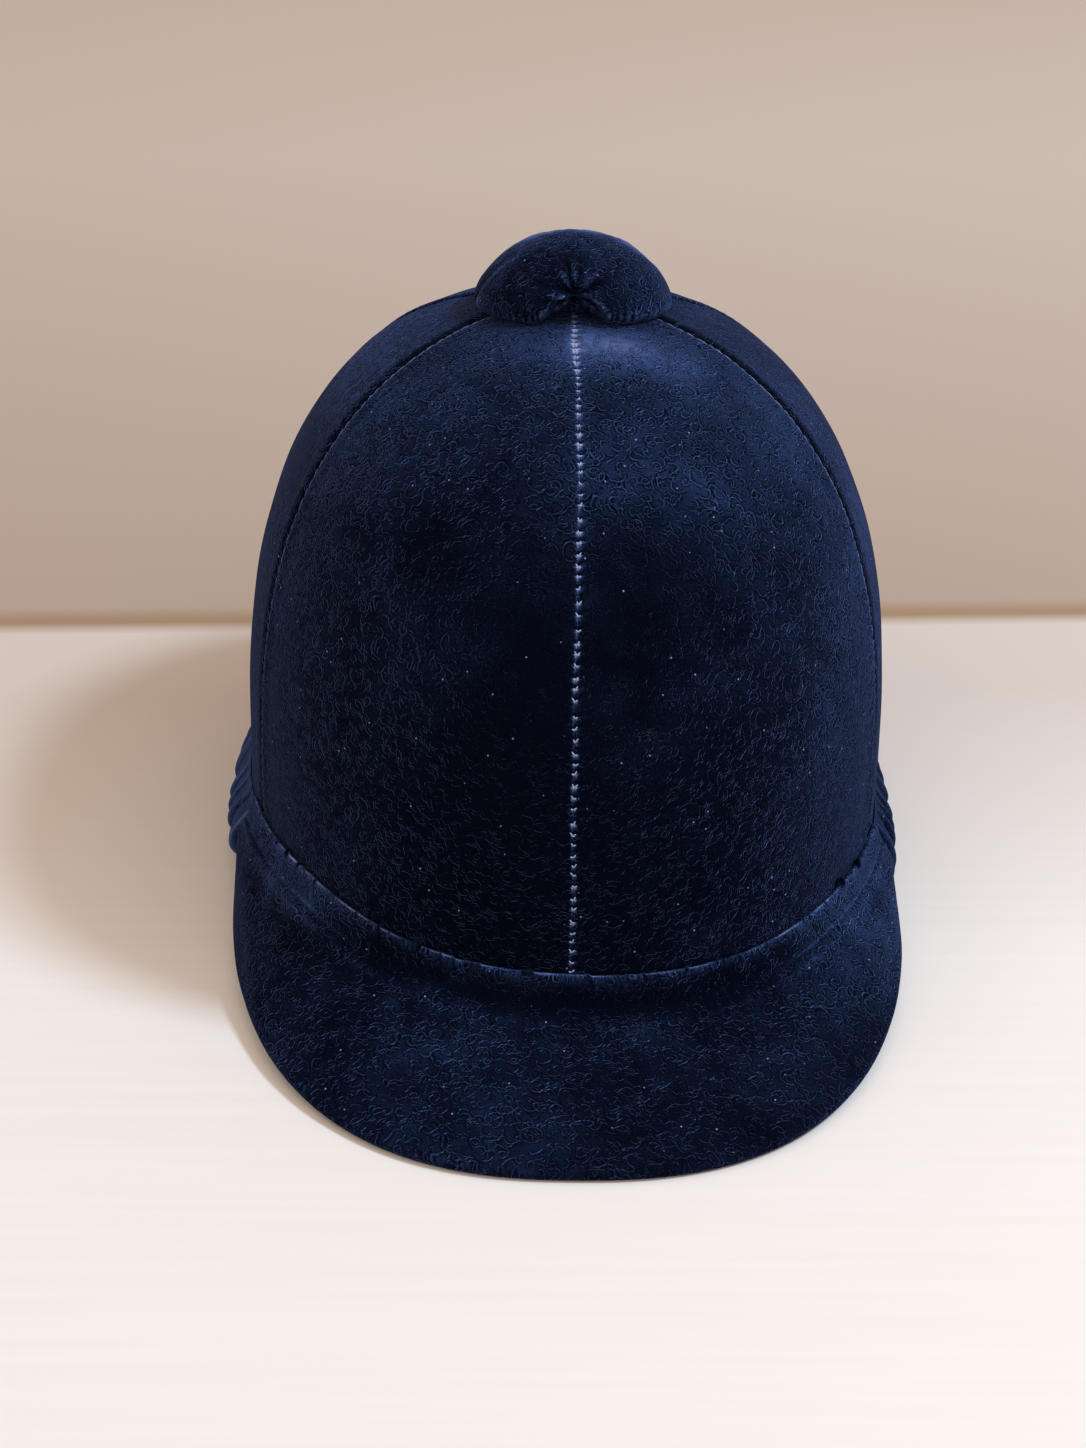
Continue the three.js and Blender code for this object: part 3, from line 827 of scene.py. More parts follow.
def button_points(directions, sizes):
    """Moves the points of a unit ball to the button: a padded dome with a gathered notch in front."""
    polar = np.arccos(np.clip(directions[:, 2], -1, 1))
    flat = np.hypot(directions[:, 0], directions[:, 1])
    off_pole = np.maximum(flat, 1e-6)
    side_share = np.where(flat > 1e-6, directions[:, 0] / off_pole, 0.0)
    front_share = np.where(flat > 1e-6, -directions[:, 1] / off_pole, 1.0)
    widest = BUTTON["widest_at"]
    dome_end = BUTTON["dome_end"]
    rolled_share = BUTTON["rolled_share"]
    angle = np.clip(polar / dome_end, 0, 1) * math.pi / 2
    below = np.clip((polar - dome_end) / (math.pi - dome_end), 0, 1)
    spread = np.sin(angle) ** (2 / BUTTON["dome_power"])
    rise = widest + (BUTTON["height"] - widest) * np.cos(angle) ** (2 / BUTTON["shoulder_power"])
    rolled = np.clip(below / rolled_share, 0, 1) * math.pi / 2
    under = np.clip((below - rolled_share) / (1 - rolled_share), 0, 1)
    roll_share = widest / BUTTON["half_width"]
    spread = np.where(below > 0, 1 - roll_share * (1 - np.cos(rolled)), spread)
    spread = np.where(below > rolled_share, (1 - roll_share) * (1 - under), spread)
    rise = np.where(below > 0, widest * (1 - np.sin(rolled)), rise)
    power = BUTTON["plan_power"]
    outline = 1 / (np.abs(side_share) ** power + np.abs(front_share) ** power) ** (1 / power)
    x = BUTTON["half_width"] * outline * spread * side_share
    y = -BUTTON["set_forward"] - BUTTON["half_depth"] * outline * spread * front_share
    front = np.clip(front_share * spread, 0, None)
    facing = smooth_step(front, 0.35, 0.8)

    # The notch is an arch, wide at the bottom, and the lobes roll softly into it.
    up_share = np.clip(rise / BUTTON["notch_height"], 0, 1)
    half_width = BUTTON["notch_half_width"] * np.sqrt(np.clip(1 - up_share ** 1.7, 0.02, 1)) + 1.2
    across = np.clip(1 - (np.abs(x) / half_width) ** 2, 0, 1)
    into = smooth_step(across, 0.0, 0.8) * fade(up_share, 0.72, 1.0)
    y = y + BUTTON["notch_depth"] * (1 - 0.62 * up_share) * into * front ** 2
    lobe = hump(np.abs(x) - BUTTON["notch_half_width"] - 4.0, 4.5) * facing * fade(rise, 7, 14)
    y = y - 0.9 * lobe

    # Gathers that run out from the knot at the top of the notch, and the knot itself, with painted
    # highlights on the gathers' ridges, painted shade in the knot, and the notch painted a little lighter
    # inside against its shade.
    knot_z = rise - BUTTON["knot_height"]
    around = np.arctan2(x, knot_z)
    radius = np.hypot(x, knot_z)
    rays = np.cos(around * 8 + 0.9 * np.sin(around * 2 + 0.5)) + 0.5 * np.cos(around * 13 + 1.0)
    gathered = facing * hump(radius - 4.5, 3.2)
    tuck = sizes.button_tuck / MILLIMETRE
    y = y - tuck * rays * gathered
    y = y + 2.0 * facing * hump(radius, 2.2)
    nap_and_shading = 0.55 * rays * gathered * facing - 1.0 * facing * hump(radius, 1.8) + 0.10 * into * front ** 2
    # A painted highlight along the lobes' inner edges, painted sheen over the top of the button towards
    # its back, and a lighter tone over its middle.
    lobe_edge = hump(np.abs(x) - half_width - 0.3, 0.9) * smooth_step(rise, 1.5, 4) * fade(rise, 6, 11)
    nap_and_shading = nap_and_shading + 0.62 * facing * lobe_edge + 0.08
    nap_and_shading = nap_and_shading + 0.86 * smooth_step(-front_share * spread, -0.15, 0.22) * smooth_step(rise, 6, 13)
    nap_and_shading = nap_and_shading + 0.13 * hump(x, 15.0) * smooth_step(rise, 10, 16)

    # Short upright tucks where the cover is drawn under all round, painted lighter on their crests and
    # darker between them as light and shade, and a lighter band low on the button's sides.
    around_plan = np.arctan2(side_share, front_share)
    hem = np.abs(np.sin(math.pi * around_plan * 29 / 2.1 + 0.8 * np.sin(around_plan * 17))) ** 0.6 - 0.6
    low = hump(rise - 2.4, 2.4) * (below < 0.4)
    hem_size = 0.26 * hem * low
    x = x + hem_size * side_share
    y = y - hem_size * front_share
    nap_and_shading = nap_and_shading + (0.7 + 1.0 * facing) * hem * low
    nap_and_shading = nap_and_shading + 0.35 * hump(rise - 4.0, 2.0) * smooth_step(np.abs(x), 21, 28)

    # On the wearer's right the cover laps over a second fold behind it, with a painted highlight on the
    # lap's edge and painted shade behind it.
    lapped_side = smooth_step(-side_share, 0.55, 0.85) * fade(rise, 13, 17) * (below < 0.3)
    from_lap = front_share * spread - 0.24
    x = x + 0.8 * hump(from_lap + 0.03, 0.05) * lapped_side
    lap_shading = 0.70 * hump(from_lap - 0.06, 0.04) - 1.3 * smooth_step(-from_lap, -0.02, 0.04)
    nap_and_shading = nap_and_shading + lapped_side * lap_shading

    soft = smooth_step(rise, 3, 9)
    rise = rise + 0.30 * soft_waves(x * 3.2, y * 3.2, 1.1) * soft
    rise = rise + 0.22 * soft_waves(x * 7.0, y * 6.0, 4.1) * soft
    return lean_back(x, y, climb_over(x, y) + 0.2 + rise), nap_and_shading


# Meshes

# The inner face's grid is this many times coarser than the outer one's.
INNER_STEP = 4


def unit_wall(columns, rows):
    """A closed block: x counts columns, y rows, and z is 1 on the fine outer face and 0 on the inner."""
    shape = bmesh.new()
    bmesh.ops.create_grid(shape, x_segments=columns, y_segments=rows, size=0.5)
    bmesh.ops.translate(shape, verts=shape.verts, vec=(0.5, 0.5, 1))
    outer_rim = [edge for edge in shape.edges if edge.is_boundary]
    walls = bmesh.ops.extrude_edge_only(shape, edges=outer_rim)
    lowered = [item for item in walls["geom"] if isinstance(item, bmesh.types.BMVert)]
    bmesh.ops.translate(shape, verts=lowered, vec=(0, 0, -1))
    inner = bmesh.ops.create_grid(
        shape, x_segments=columns // INNER_STEP, y_segments=rows // INNER_STEP, size=0.5)["verts"]
    bmesh.ops.translate(shape, verts=inner, vec=(0.5, 0.5, 0))
    inner = set(inner)
    inner_rim = [edge for edge in shape.edges if edge.is_boundary and inner.issuperset(edge.verts)]
    bmesh.ops.subdivide_edges(shape, edges=inner_rim, cuts=INNER_STEP - 1, quad_corner_type="FAN")
    bmesh.ops.scale(shape, verts=shape.verts, vec=(columns, rows, 1))
    bmesh.ops.remove_doubles(shape, verts=shape.verts, dist=0.05)
    bmesh.ops.recalc_face_normals(shape, faces=shape.faces)
    for face in shape.faces:
        inside = all(vertex.co.z < 0.5 for vertex in face.verts)
        face.material_index = 1 if inside else 0
    return shape


def mesh_from(shape, name):
    """Turns a bmesh into a smooth mesh."""
    for face in shape.faces:
        face.smooth = True
    mesh = bpy.data.meshes.new(name)
    shape.to_mesh(mesh)
    shape.free()
    return mesh


def vertex_places(mesh):
    flat = np.empty(len(mesh.vertices) * 3)
    mesh.vertices.foreach_get("co", flat)
    return flat.reshape(-1, 3)


def move_vertices(mesh, points):
    mesh.vertices.foreach_set("co", (points * MILLIMETRE).ravel())
    mesh.update()


# The attribute holds the pile's nap, how it was brushed, together with painted light and shade: lighter on
# lit sides, rims and crests, darker in grooves, holes and on shaded sides.
def set_nap_and_shading(mesh, nap_and_shading):
    attribute = mesh.attributes.new("nap_and_shading", "FLOAT", "POINT")
    attribute.data.foreach_set("value", nap_and_shading.astype(np.float32))


def wall_mesh(name, outer, inner, nap_and_shading):
    """A closed wall between two grids of points [row, column], with the pile on its outer face."""
    rows, columns = outer.shape[0] - 1, outer.shape[1] - 1
    mesh = mesh_from(unit_wall(columns, rows), name)
    column, row, face = np.rint(vertex_places(mesh)).astype(int).T
    outside = face == 1
    move_vertices(mesh, np.where(outside[:, None], outer[row, column], inner[row, column]))
    set_nap_and_shading(mesh, np.where(outside, nap_and_shading[row, column], 0.0))
    return mesh


def link(thing):
    bpy.context.scene.collection.objects.link(thing)
    return thing


def add_piece(mesh, materials, slot, *nodes):
    """Puts a finished mesh in the scene in the place of its solids."""
    if not mesh.polygons:
        raise RuntimeError(f"{mesh.name} has no faces")
    for material in materials:
        mesh.materials.append(material)
    piece = link(bpy.data.objects.new(mesh.name, mesh))
    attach(piece, "root")
    if nodes:
        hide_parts(*nodes)
    return piece


# Materials

def add_node(tree, kind, inputs, **settings):
    """Adds a node with its settings; each socket gets a value, or is linked from a node or output."""
    node = tree.nodes.new("ShaderNode" + kind)
    for name, value in settings.items():
        setattr(node, name, value)
    for socket, value in inputs.items():
        source = value.outputs[0] if isinstance(value, bpy.types.Node) else value
        if isinstance(source, bpy.types.NodeSocket):
            tree.links.new(source, node.inputs[socket])
        else:
            node.inputs[socket].default_value = source
    return node


def new_material(name, shift=(0, 0, 0)):
    """An empty material, its nodes, and its piece's coordinates as they are and in millimetres."""
    material = bpy.data.materials.new(name)
    material.use_nodes = True
    tree = material.node_tree
    tree.nodes.clear()
    coordinates = add_node(tree, "TexCoord", {})
    millimetres = add_node(tree, "Mapping", {
        "Vector": coordinates.outputs["Object"], "Location": shift, "Scale": (1000, 1000, 1000)})
    return material, tree, coordinates, millimetres


def opaque(colour):
    return (*colour, 1.0)


# How many tufts of each layer of curls there are in a millimetre. Each layer is shifted by so much.
CURL_LAYERS = (0.135, 0.16, 0.19, 0.225, 0.265, 0.315)
CURL_SHIFT = (53.0, 17.0, 29.0)


def cotton_velvet(name, colours, seed, curliness):
    """Cotton velvet: a woven ground with a dense cut pile, matt and deep, lighter where it opens and where
    light is painted on it.
    """
    material, tree, coordinates, millimetres = new_material(name, (seed * 37.0, seed * 11.0, 0))

    # Pile ends curl into hooks and arcs 2 to 9 mm long, each a lighter line, partly a painted highlight,
    # with painted shade in a dark line on both sides, as a raised fibre would cast. Each tuft has one arc,
    # round an axis of its own that leans off the surface's normal.
    wandering = add_node(tree, "TexNoise", {"Vector": millimetres, "Scale": 0.17, "Detail": 1.0})
    wander = add_node(
        tree, "VectorMath", {0: wandering.outputs["Color"], 1: (3.2, 3.2, 3.2), 2: millimetres},
        operation="MULTIPLY_ADD")
    all_curls = None
    for layer, size in enumerate(CURL_LAYERS):
        shift = [layer * amount for amount in CURL_SHIFT]
        shift[0] += 3.0
        shifted = add_node(tree, "VectorMath", {0: wander, 1: shift}, operation="ADD")
        tufts = add_node(tree, "TexVoronoi", {"Vector": shifted, "Scale": size})
        from_middle = add_node(
            tree, "VectorMath", {0: shifted, 1: tufts.outputs["Position"]}, operation="SUBTRACT")
        lean = add_node(
            tree, "VectorMath", {0: tufts.outputs["Color"], 1: (0.5, 0.5, 0.5)}, operation="SUBTRACT")
        axis = add_node(tree, "VectorMath", {0: lean, 1: coordinates.outputs["Normal"]}, operation="ADD")
        unit_axis = add_node(tree, "VectorMath", {0: axis}, operation="NORMALIZE")
        round_axis = add_node(
            tree, "VectorMath", {0: from_middle, 1: unit_axis}, operation="CROSS_PRODUCT")
        radius = add_node(tree, "VectorMath", {0: round_axis}, operation="LENGTH")
        arc_radius = add_node(tree, "VectorMath", {0: lean}, operation="LENGTH")
        beyond = add_node(
            tree, "Math", {0: arc_radius.outputs["Value"], 1: -0.62 / size, 2: radius.outputs["Value"]},
            operation="MULTIPLY_ADD")
        from_arc = add_node(tree, "Math", {0: beyond}, operation="ABSOLUTE")
        light_line = add_node(
            tree, "MapRange", {"Value": from_arc, "From Min": 0.27, "From Max": 0.04, "To Max": 1.5},
            interpolation_type="SMOOTHSTEP")
        shaded_sides = add_node(
            tree, "MapRange", {"Value": from_arc, "From Min": 0.95, "From Max": 0.34, "To Max": 0.55},
            interpolation_type="SMOOTHSTEP")
        line = add_node(tree, "Math", {0: light_line, 1: shaded_sides}, operation="SUBTRACT")
        to_one_side = add_node(tree, "VectorMath", {0: from_middle, 1: lean}, operation="DOT_PRODUCT")
        kept = add_node(
            tree, "MapRange", {"Value": to_one_side.outputs["Value"], "From Min": 0.0, "From Max": 0.36},
            interpolation_type="SMOOTHSTEP")
        curl = add_node(tree, "Math", {0: line, 1: kept}, operation="MULTIPLY")
        all_curls = curl if all_curls is None else add_node(
            tree, "Math", {0: all_curls, 1: curl}, operation="ADD")
    faint = add_node(tree, "TexNoise", {"Vector": millimetres, "Scale": 0.12, "Detail": 1.0})
    strength = add_node(tree, "MapRange", {
        "Value": faint, "From Min": 0.35, "From Max": 0.60, "To Min": 0.80, "To Max": 1.0})
    curled = add_node(tree, "Math", {0: all_curls, 1: strength}, operation="MULTIPLY")

    # Where a hand has brushed the pile the other way it turns lighter, in patches of 10 to 60 mm,
    # and the pile itself is grainy, about 0.4 mm from tuft to tuft.
    patches = add_node(tree, "TexNoise", {
        "Vector": millimetres, "Scale": 0.024, "Detail": 3.0, "Roughness": 0.5, "Distortion": 0.5})
    bruises = add_node(tree, "TexNoise", {
        "Vector": millimetres, "Scale": 0.11, "Detail": 2.0, "Roughness": 0.5, "Distortion": 0.4})
    grain = add_node(tree, "TexNoise", {"Vector": millimetres, "Scale": 2.4, "Detail": 1.0})
    calmer = add_node(tree, "Math", {0: patches, 1: 0.06}, operation="SUBTRACT")
    mottled = add_node(tree, "Math", {0: bruises, 1: 0.40, 2: calmer}, operation="MULTIPLY_ADD")
    grainy = add_node(tree, "Math", {0: grain, 1: 0.70, 2: mottled}, operation="MULTIPLY_ADD")
    # The attribute adds the brushed places and the painted light and shade of seams, folds, grooves and
    # lit and shaded sides.
    nap_and_shading = add_node(tree, "Attribute", {}, attribute_name="nap_and_shading").outputs["Fac"]
    pile_lift_and_shading = add_node(tree, "Math", {0: grainy, 1: nap_and_shading}, operation="ADD")

    # Pile that lies flat shows less of its curls than pile that stands up, and the curls show more where
    # light is painted on it.
    curl_share = add_node(tree, "MapRange", {
        "Value": pile_lift_and_shading, "From Min": 0.86, "From Max": 1.30,
        "To Min": 0.045 * curliness, "To Max": 0.58 * curliness})
    curl_height = add_node(tree, "MapRange", {
        "Value": pile_lift_and_shading, "From Min": 0.86, "From Max": 1.30, "To Min": 0.60, "To Max": 1.20})
    laid = add_node(tree, "Math", {0: curled, 1: curl_share, 2: pile_lift_and_shading}, operation="MULTIPLY_ADD")
    lightness = add_node(tree, "MapRange", {"Value": laid, "From Min": 0.72, "From Max": 2.30})
    deepened = add_node(tree, "Math", {0: lightness, 1: 2.0}, operation="POWER")
    plush = add_node(
        tree, "Mix", {0: deepened, 6: opaque(colours.velvet_shade), 7: opaque(colours.velvet_light)},
        data_type="RGBA")

    # Where the nap runs high the pile turns paler and greyer: rubbed wear on folded and drawn-up edges,
    # and painted highlight and sheen on lit seam edges, puff rims, fold crests and the button's top.
    wear_and_highlight = add_node(
        tree, "MapRange", {"Value": nap_and_shading, "From Min": 0.70, "From Max": 1.9},
        interpolation_type="SMOOTHSTEP")
    ground = add_node(
        tree, "Mix", {0: wear_and_highlight, 6: plush.outputs[2], 7: opaque(colours.velvet_worn_and_highlight)}, data_type="RGBA")

    # Specks of lint a third of a millimetre across, one in a few square centimetres.
    specks = add_node(tree, "TexVoronoi", {"Vector": millimetres, "Scale": 0.24})
    speck = add_node(tree, "MapRange", {"Value": specks, "From Min": 0.07, "From Max": 0.045})
    chosen = add_node(tree, "Math", {0: specks.outputs["Color"], 1: 0.45}, operation="GREATER_THAN")
    lint = add_node(tree, "Math", {0: speck, 1: chosen}, operation="MULTIPLY")
    dusted = add_node(
        tree, "Mix", {0: lint, 6: ground.outputs[2], 7: opaque(colours.lint)}, data_type="RGBA")

    raised = add_node(tree, "Math", {0: curled, 1: curl_height}, operation="MULTIPLY")
    relief = add_node(tree, "Math", {0: grain, 1: 0.9, 2: raised}, operation="MULTIPLY_ADD")
    bump = add_node(tree, "Bump", {"Height": relief, "Strength": 1.0, "Distance": 0.00042 * curliness})
    shader = add_node(tree, "BsdfPrincipled", {
        "Base Color": dusted.outputs[2], "Normal": bump, "Roughness": 0.95, "IOR": 1.45,
        "Specular IOR Level": 0.03, "Sheen Weight": 0.52, "Sheen Roughness": 0.23,
        "Sheen Tint": opaque(colours.sheen)})
    add_node(tree, "OutputMaterial", {"Surface": shader})
    return material


def sewing_thread(name, colours):
    """Polyester sewing thread, two plies twisted, with a slight gloss."""
    material, tree, _, millimetres = new_material(name)

    # The twist of the plies, 0.4 mm from ridge to ridge.
    twist = add_node(
        tree, "TexWave", {"Vector": millimetres, "Scale": 0.8, "Distortion": 0.5},
        bands_direction="DIAGONAL").outputs["Fac"]
    dark_thread = opaque([channel * 0.55 for channel in colours.thread])
    tone = add_node(tree, "Mix", {0: twist, 6: dark_thread, 7: opaque(colours.thread)}, data_type="RGBA")
    bump = add_node(tree, "Bump", {"Height": twist, "Strength": 0.5, "Distance": 0.00008})
    shader = add_node(tree, "BsdfPrincipled", {
        "Base Color": tone.outputs[2], "Normal": bump, "Roughness": 0.5, "IOR": 1.55,
        "Sheen Weight": 0.2})
    add_node(tree, "OutputMaterial", {"Surface": shader})
    return material


def woven_cotton(name, colours):
    """Plain woven cotton, matt, as a cap is finished with on its inner faces."""
    material, tree, _, millimetres = new_material(name)

    # Threads 0.5 mm apart, drawn coarser at 0.9 mm so that they show.
    warp = add_node(tree, "TexWave", {"Vector": millimetres, "Scale": 0.35}, bands_direction="Z")
    weft = add_node(tree, "TexWave", {"Vector": millimetres, "Scale": 0.2}, bands_direction="DIAGONAL")
    weave = add_node(
        tree, "Math", {0: warp.outputs["Fac"], 1: weft.outputs["Fac"]}, operation="MULTIPLY")
    dark_cloth = opaque([channel * 0.6 for channel in colours.inside])
    tone = add_node(tree, "Mix", {0: weave, 6: dark_cloth, 7: opaque(colours.inside)}, data_type="RGBA")
    bump = add_node(tree, "Bump", {"Height": weave, "Strength": 0.4, "Distance": 0.0001})
    shader = add_node(tree, "BsdfPrincipled", {
        "Base Color": tone.outputs[2], "Normal": bump, "Roughness": 0.9, "IOR": 1.45,
        "Specular IOR Level": 0.2})
    add_node(tree, "OutputMaterial", {"Surface": shader})
    return material


def painted_board(name, colours):
    """Smooth matt board with a very faint grain: a floor with painted shade towards the back, a painted
    shadow line, and a wall's tone behind it.
    """
    material, tree, _, millimetres = new_material(name)
    level = add_node(tree, "Mapping", {"Vector": millimetres, "Rotation": (0, 0, math.radians(-2.7))})
    place = add_node(tree, "SeparateXYZ", {"Vector": level})

    # A pale wood grain along x, its lines 2 to 6 mm apart, almost too faint to see.
    stretched = add_node(tree, "Mapping", {"Vector": millimetres, "Scale": (0.006, 0.23, 0.001)})
    grain = add_node(
        tree, "TexNoise", {"Vector": stretched, "Scale": 1.0, "Detail": 5.0, "Roughness": 0.6})
    grain_share = add_node(
        tree, "MapRange", {"Value": grain, "From Min": 0.35, "From Max": 0.75, "To Max": 0.10})
    tone = add_node(
        tree, "Mix", {0: grain_share, 6: opaque(colours.floor), 7: opaque(colours.floor_shade_and_grain)},
        data_type="RGBA")

    # From front to back, in millimetres: the floor darkens with painted shade towards the wall, meets it
    # in a painted shadow line, and the wall lightens upwards.
    changes = (
        (-60, 110, colours.floor_shade_and_grain),
        (161, 170, colours.floor_shadow_line),
        (173, 183, colours.wall_low),
        (183, 800, colours.wall_high),
    )
    for start, end, colour in changes:
        share = add_node(
            tree, "MapRange", {"Value": place.outputs["Y"], "From Min": start, "From Max": end})
        tone = add_node(
            tree, "Mix", {0: share, 6: tone.outputs[2], 7: opaque(colour)}, data_type="RGBA")
    shader = add_node(tree, "BsdfPrincipled", {
        "Base Color": tone.outputs[2], "Roughness": 0.85, "Specular IOR Level": 0.1})
    add_node(tree, "OutputMaterial", {"Surface": shader})
    return material


def made_once(make, name, *values):
    """A material by its name, made in the scene's colours when it is first asked for."""
    if name in bpy.data.materials:
        return bpy.data.materials[name]
    return make(name, bpy.context.scene.hunt_cap_colours, *values)


# Builders

def build_panel(panel):
    pitch = bpy.context.scene.hunt_cap_sizes.stitch_pitch / MILLIMETRE
    mesh = wall_mesh(panel[0] + "_velvet", *crown_panel_points(panel, pitch))
    materials = [
        made_once(cotton_velvet, "Crown cotton velvet", 0, 1.0),
        made_once(woven_cotton, "Woven cotton")]
    add_piece(mesh, materials, "crown_velvet", panel[0])


def build_cover():
    grid, nap_and_shading = cover_points(bpy.context.scene.hunt_cap_sizes)
    rows = len(grid)
    shape = bmesh.new()
    bmesh.ops.create_grid(shape, x_segments=COVER_COLUMNS, y_segments=rows, size=0.5)
    bmesh.ops.translate(shape, verts=shape.verts, vec=(0.5, 0.5, 0))
    bmesh.ops.scale(shape, verts=shape.verts, vec=(COVER_COLUMNS, rows, 1))
    nap_and_shading_layer = shape.verts.layers.float.new("nap_and_shading")
    for vertex in shape.verts:
        column = round(vertex.co.x)
        row = round(vertex.co.y) % rows
        vertex.co = grid[row, column]
        vertex[nap_and_shading_layer] = nap_and_shading[row, column]
    bmesh.ops.remove_doubles(shape, verts=shape.verts, dist=1e-4)
    bmesh.ops.holes_fill(shape, edges=[edge for edge in shape.edges if edge.is_boundary])
    bmesh.ops.recalc_face_normals(shape, faces=shape.faces)
    mesh = mesh_from(shape, "peak_cover")
    move_vertices(mesh, vertex_places(mesh))

    # The two faces that close the ends are flat.
    for face in mesh.polygons:
        face.use_smooth = len(face.vertices) < 5
    materials = [made_once(cotton_velvet, "Peak cotton velvet", 1, 1.0)]
    add_piece(mesh, materials, "peak_velvet", "peak", "peak_collar")


def build_band():
    mesh = wall_mesh("gathered_band_velvet", *band_points(bpy.context.scene.hunt_cap_sizes))
    materials = [
        made_once(cotton_velvet, "Band cotton velvet", 2, 0.3),
        made_once(woven_cotton, "Woven cotton")]
    piece = add_piece(mesh, materials, "band_velvet", "gathered_band")


def build_button():
    shape = bmesh.new()
    bmesh.ops.create_uvsphere(shape, u_segments=256, v_segments=130, radius=1.0)
    mesh = mesh_from(shape, "crown_button_velvet")
    points, nap_and_shading = button_points(vertex_places(mesh), bpy.context.scene.hunt_cap_sizes)
    move_vertices(mesh, points)
    set_nap_and_shading(mesh, nap_and_shading)
    materials = [made_once(cotton_velvet, "Button cotton velvet", 3, 1.0)]
    piece = add_piece(mesh, materials, "button_velvet", "crown_button")


# Each stitch shows as two bars, like a small V. In millimetres: how far its foot and its tip stand off
# the crown, and how far the foot lies behind the stitch. Then a bar's length as a share of its reach.
STITCH = {"foot_stand": 0.34, "tip_stand": 0.46, "foot_back": 0.50, "half_bar": 0.62}

# How far apart the beads stand that the bars are made from, before they are moved.
BEAD_PITCH = 4.0


def stitch_arms(pitch):
    """Foot, tip and outward direction of each arm of the stitches in the centre seams."""
    feet, tips, outs = [], [], []
    for turn, seed in ((0.0, 0.0), (180.0, 3.0)):
        climbs, lengths = panel_rows(np.array([turn]), 900)
        travelled = lengths[:, 0]
        turns = np.full_like(travelled, turn)
        line = crown_point(turns, climbs[:, 0], 0.0)
        outwards = crown_point(turns, climbs[:, 0], 1.0) - line
        if turn == 0.0:
            line[:, 0] += seam_wander(travelled)
        phase = stitch_phase(travelled, pitch, seed)
        stitches = np.arange(5, int(phase[-1]) - 3)
        at = np.interp(stitches, phase, travelled)
        middle, ahead, out = (
            np.stack([np.interp(places, travelled, values) for values in points.T], axis=-1)
            for places, points in ((at, line), (at + 0.8, line), (at, outwards)))
        up = unit(ahead - middle)
        out = unit(out)
        across = np.cross(up, out)
        for arm in (-1.0, 1.0):
            spread = arm * (0.66 + 0.20 * np.sin(stitches * 2.9 + 2 * arm))[:, None]
            lifted = 0.22 + 0.42 * np.sin(stitches * 1.7 + arm)[:, None]
            feet.append(middle + out * STITCH["foot_stand"] - up * STITCH["foot_back"])
            tips.append(middle + out * STITCH["tip_stand"] + up * lifted - across * spread)
            outs.append(out)
    return np.concatenate(feet), np.concatenate(tips), np.concatenate(outs)


def build_stitches():
    """The thread that shows in the centre seams, front and back: a row of beads moved to the arms."""
    sizes = bpy.context.scene.hunt_cap_sizes
    feet, tips, outs = stitch_arms(sizes.stitch_pitch / MILLIMETRE)
    shape = bmesh.new()
    bmesh.ops.create_uvsphere(shape, u_segments=8, v_segments=6, radius=1.0)
    bead = link(bpy.data.objects.new("bead", mesh_from(shape, "bead")))
    row = bead.modifiers.new("row of beads", "ARRAY")
    row.count = len(feet)
    row.use_relative_offset = False
    row.use_constant_offset = True
    row.constant_offset_displace = (BEAD_PITCH, 0.0, 0.0)
    evaluated = bead.evaluated_get(bpy.context.evaluated_depsgraph_get())
    mesh = bpy.data.meshes.new_from_object(evaluated)
    mesh.name = "centre_seam_stitches"
    bpy.data.objects.remove(bead)
    places = vertex_places(mesh)
    bead_number = np.rint(places[:, 0] / BEAD_PITCH).astype(int)
    places[:, 0] -= BEAD_PITCH * bead_number
    aim = (tips - feet)[bead_number]
    reach = np.linalg.norm(aim, axis=1, keepdims=True)
    aim = aim / reach
    side = unit(np.cross(aim, outs[bead_number]))
    outwards = np.cross(side, aim)
    half = sizes.thread_width / MILLIMETRE / 2
    points = (feet + tips)[bead_number] / 2
    points = points + half * (places[:, :1] * side + places[:, 2:] * outwards)
    points = points + STITCH["half_bar"] * reach * places[:, 1:2] * aim
    move_vertices(mesh, points)
    add_piece(mesh, [made_once(sewing_thread, "Polyester thread")], None)


# The window that lights the cap from the right: its place, what it faces and its size in metres, its
# power in watts and its colour. Then the even light of the room, and the size of the floor.
WINDOW = {
    "place": (1.31, -0.15, 1.85),
    "target": (0.0, 0.03, 0.09),
    "size": 0.40,
    "power": 31.5,
    "colour": "#CFE9FF",
}
ROOM_COLOUR = "#FFEBDA"
ROOM_STRENGTH = 0.80
FLOOR_SIZE = 6.0

# The camera: its place and what it looks at in millimetres, and its roll, lens and sensor.
CAMERA = {
    "place": (-20.1, -654.6 + CROWN_BEHIND_ORIGIN, 400.4),
    "target": (-6.44, CROWN_BEHIND_ORIGIN, 34.54),
    "roll": math.radians(1.168),
    "lens": 58.36,
    "sensor": 36.0,
}


def build_floor():
    shape = bmesh.new()
    bmesh.ops.create_grid(shape, x_segments=1, y_segments=1, size=FLOOR_SIZE)
    mesh = mesh_from(shape, "floor")
    mesh.materials.append(made_once(painted_board, "Matt board"))
    link(bpy.data.objects.new("floor", mesh))


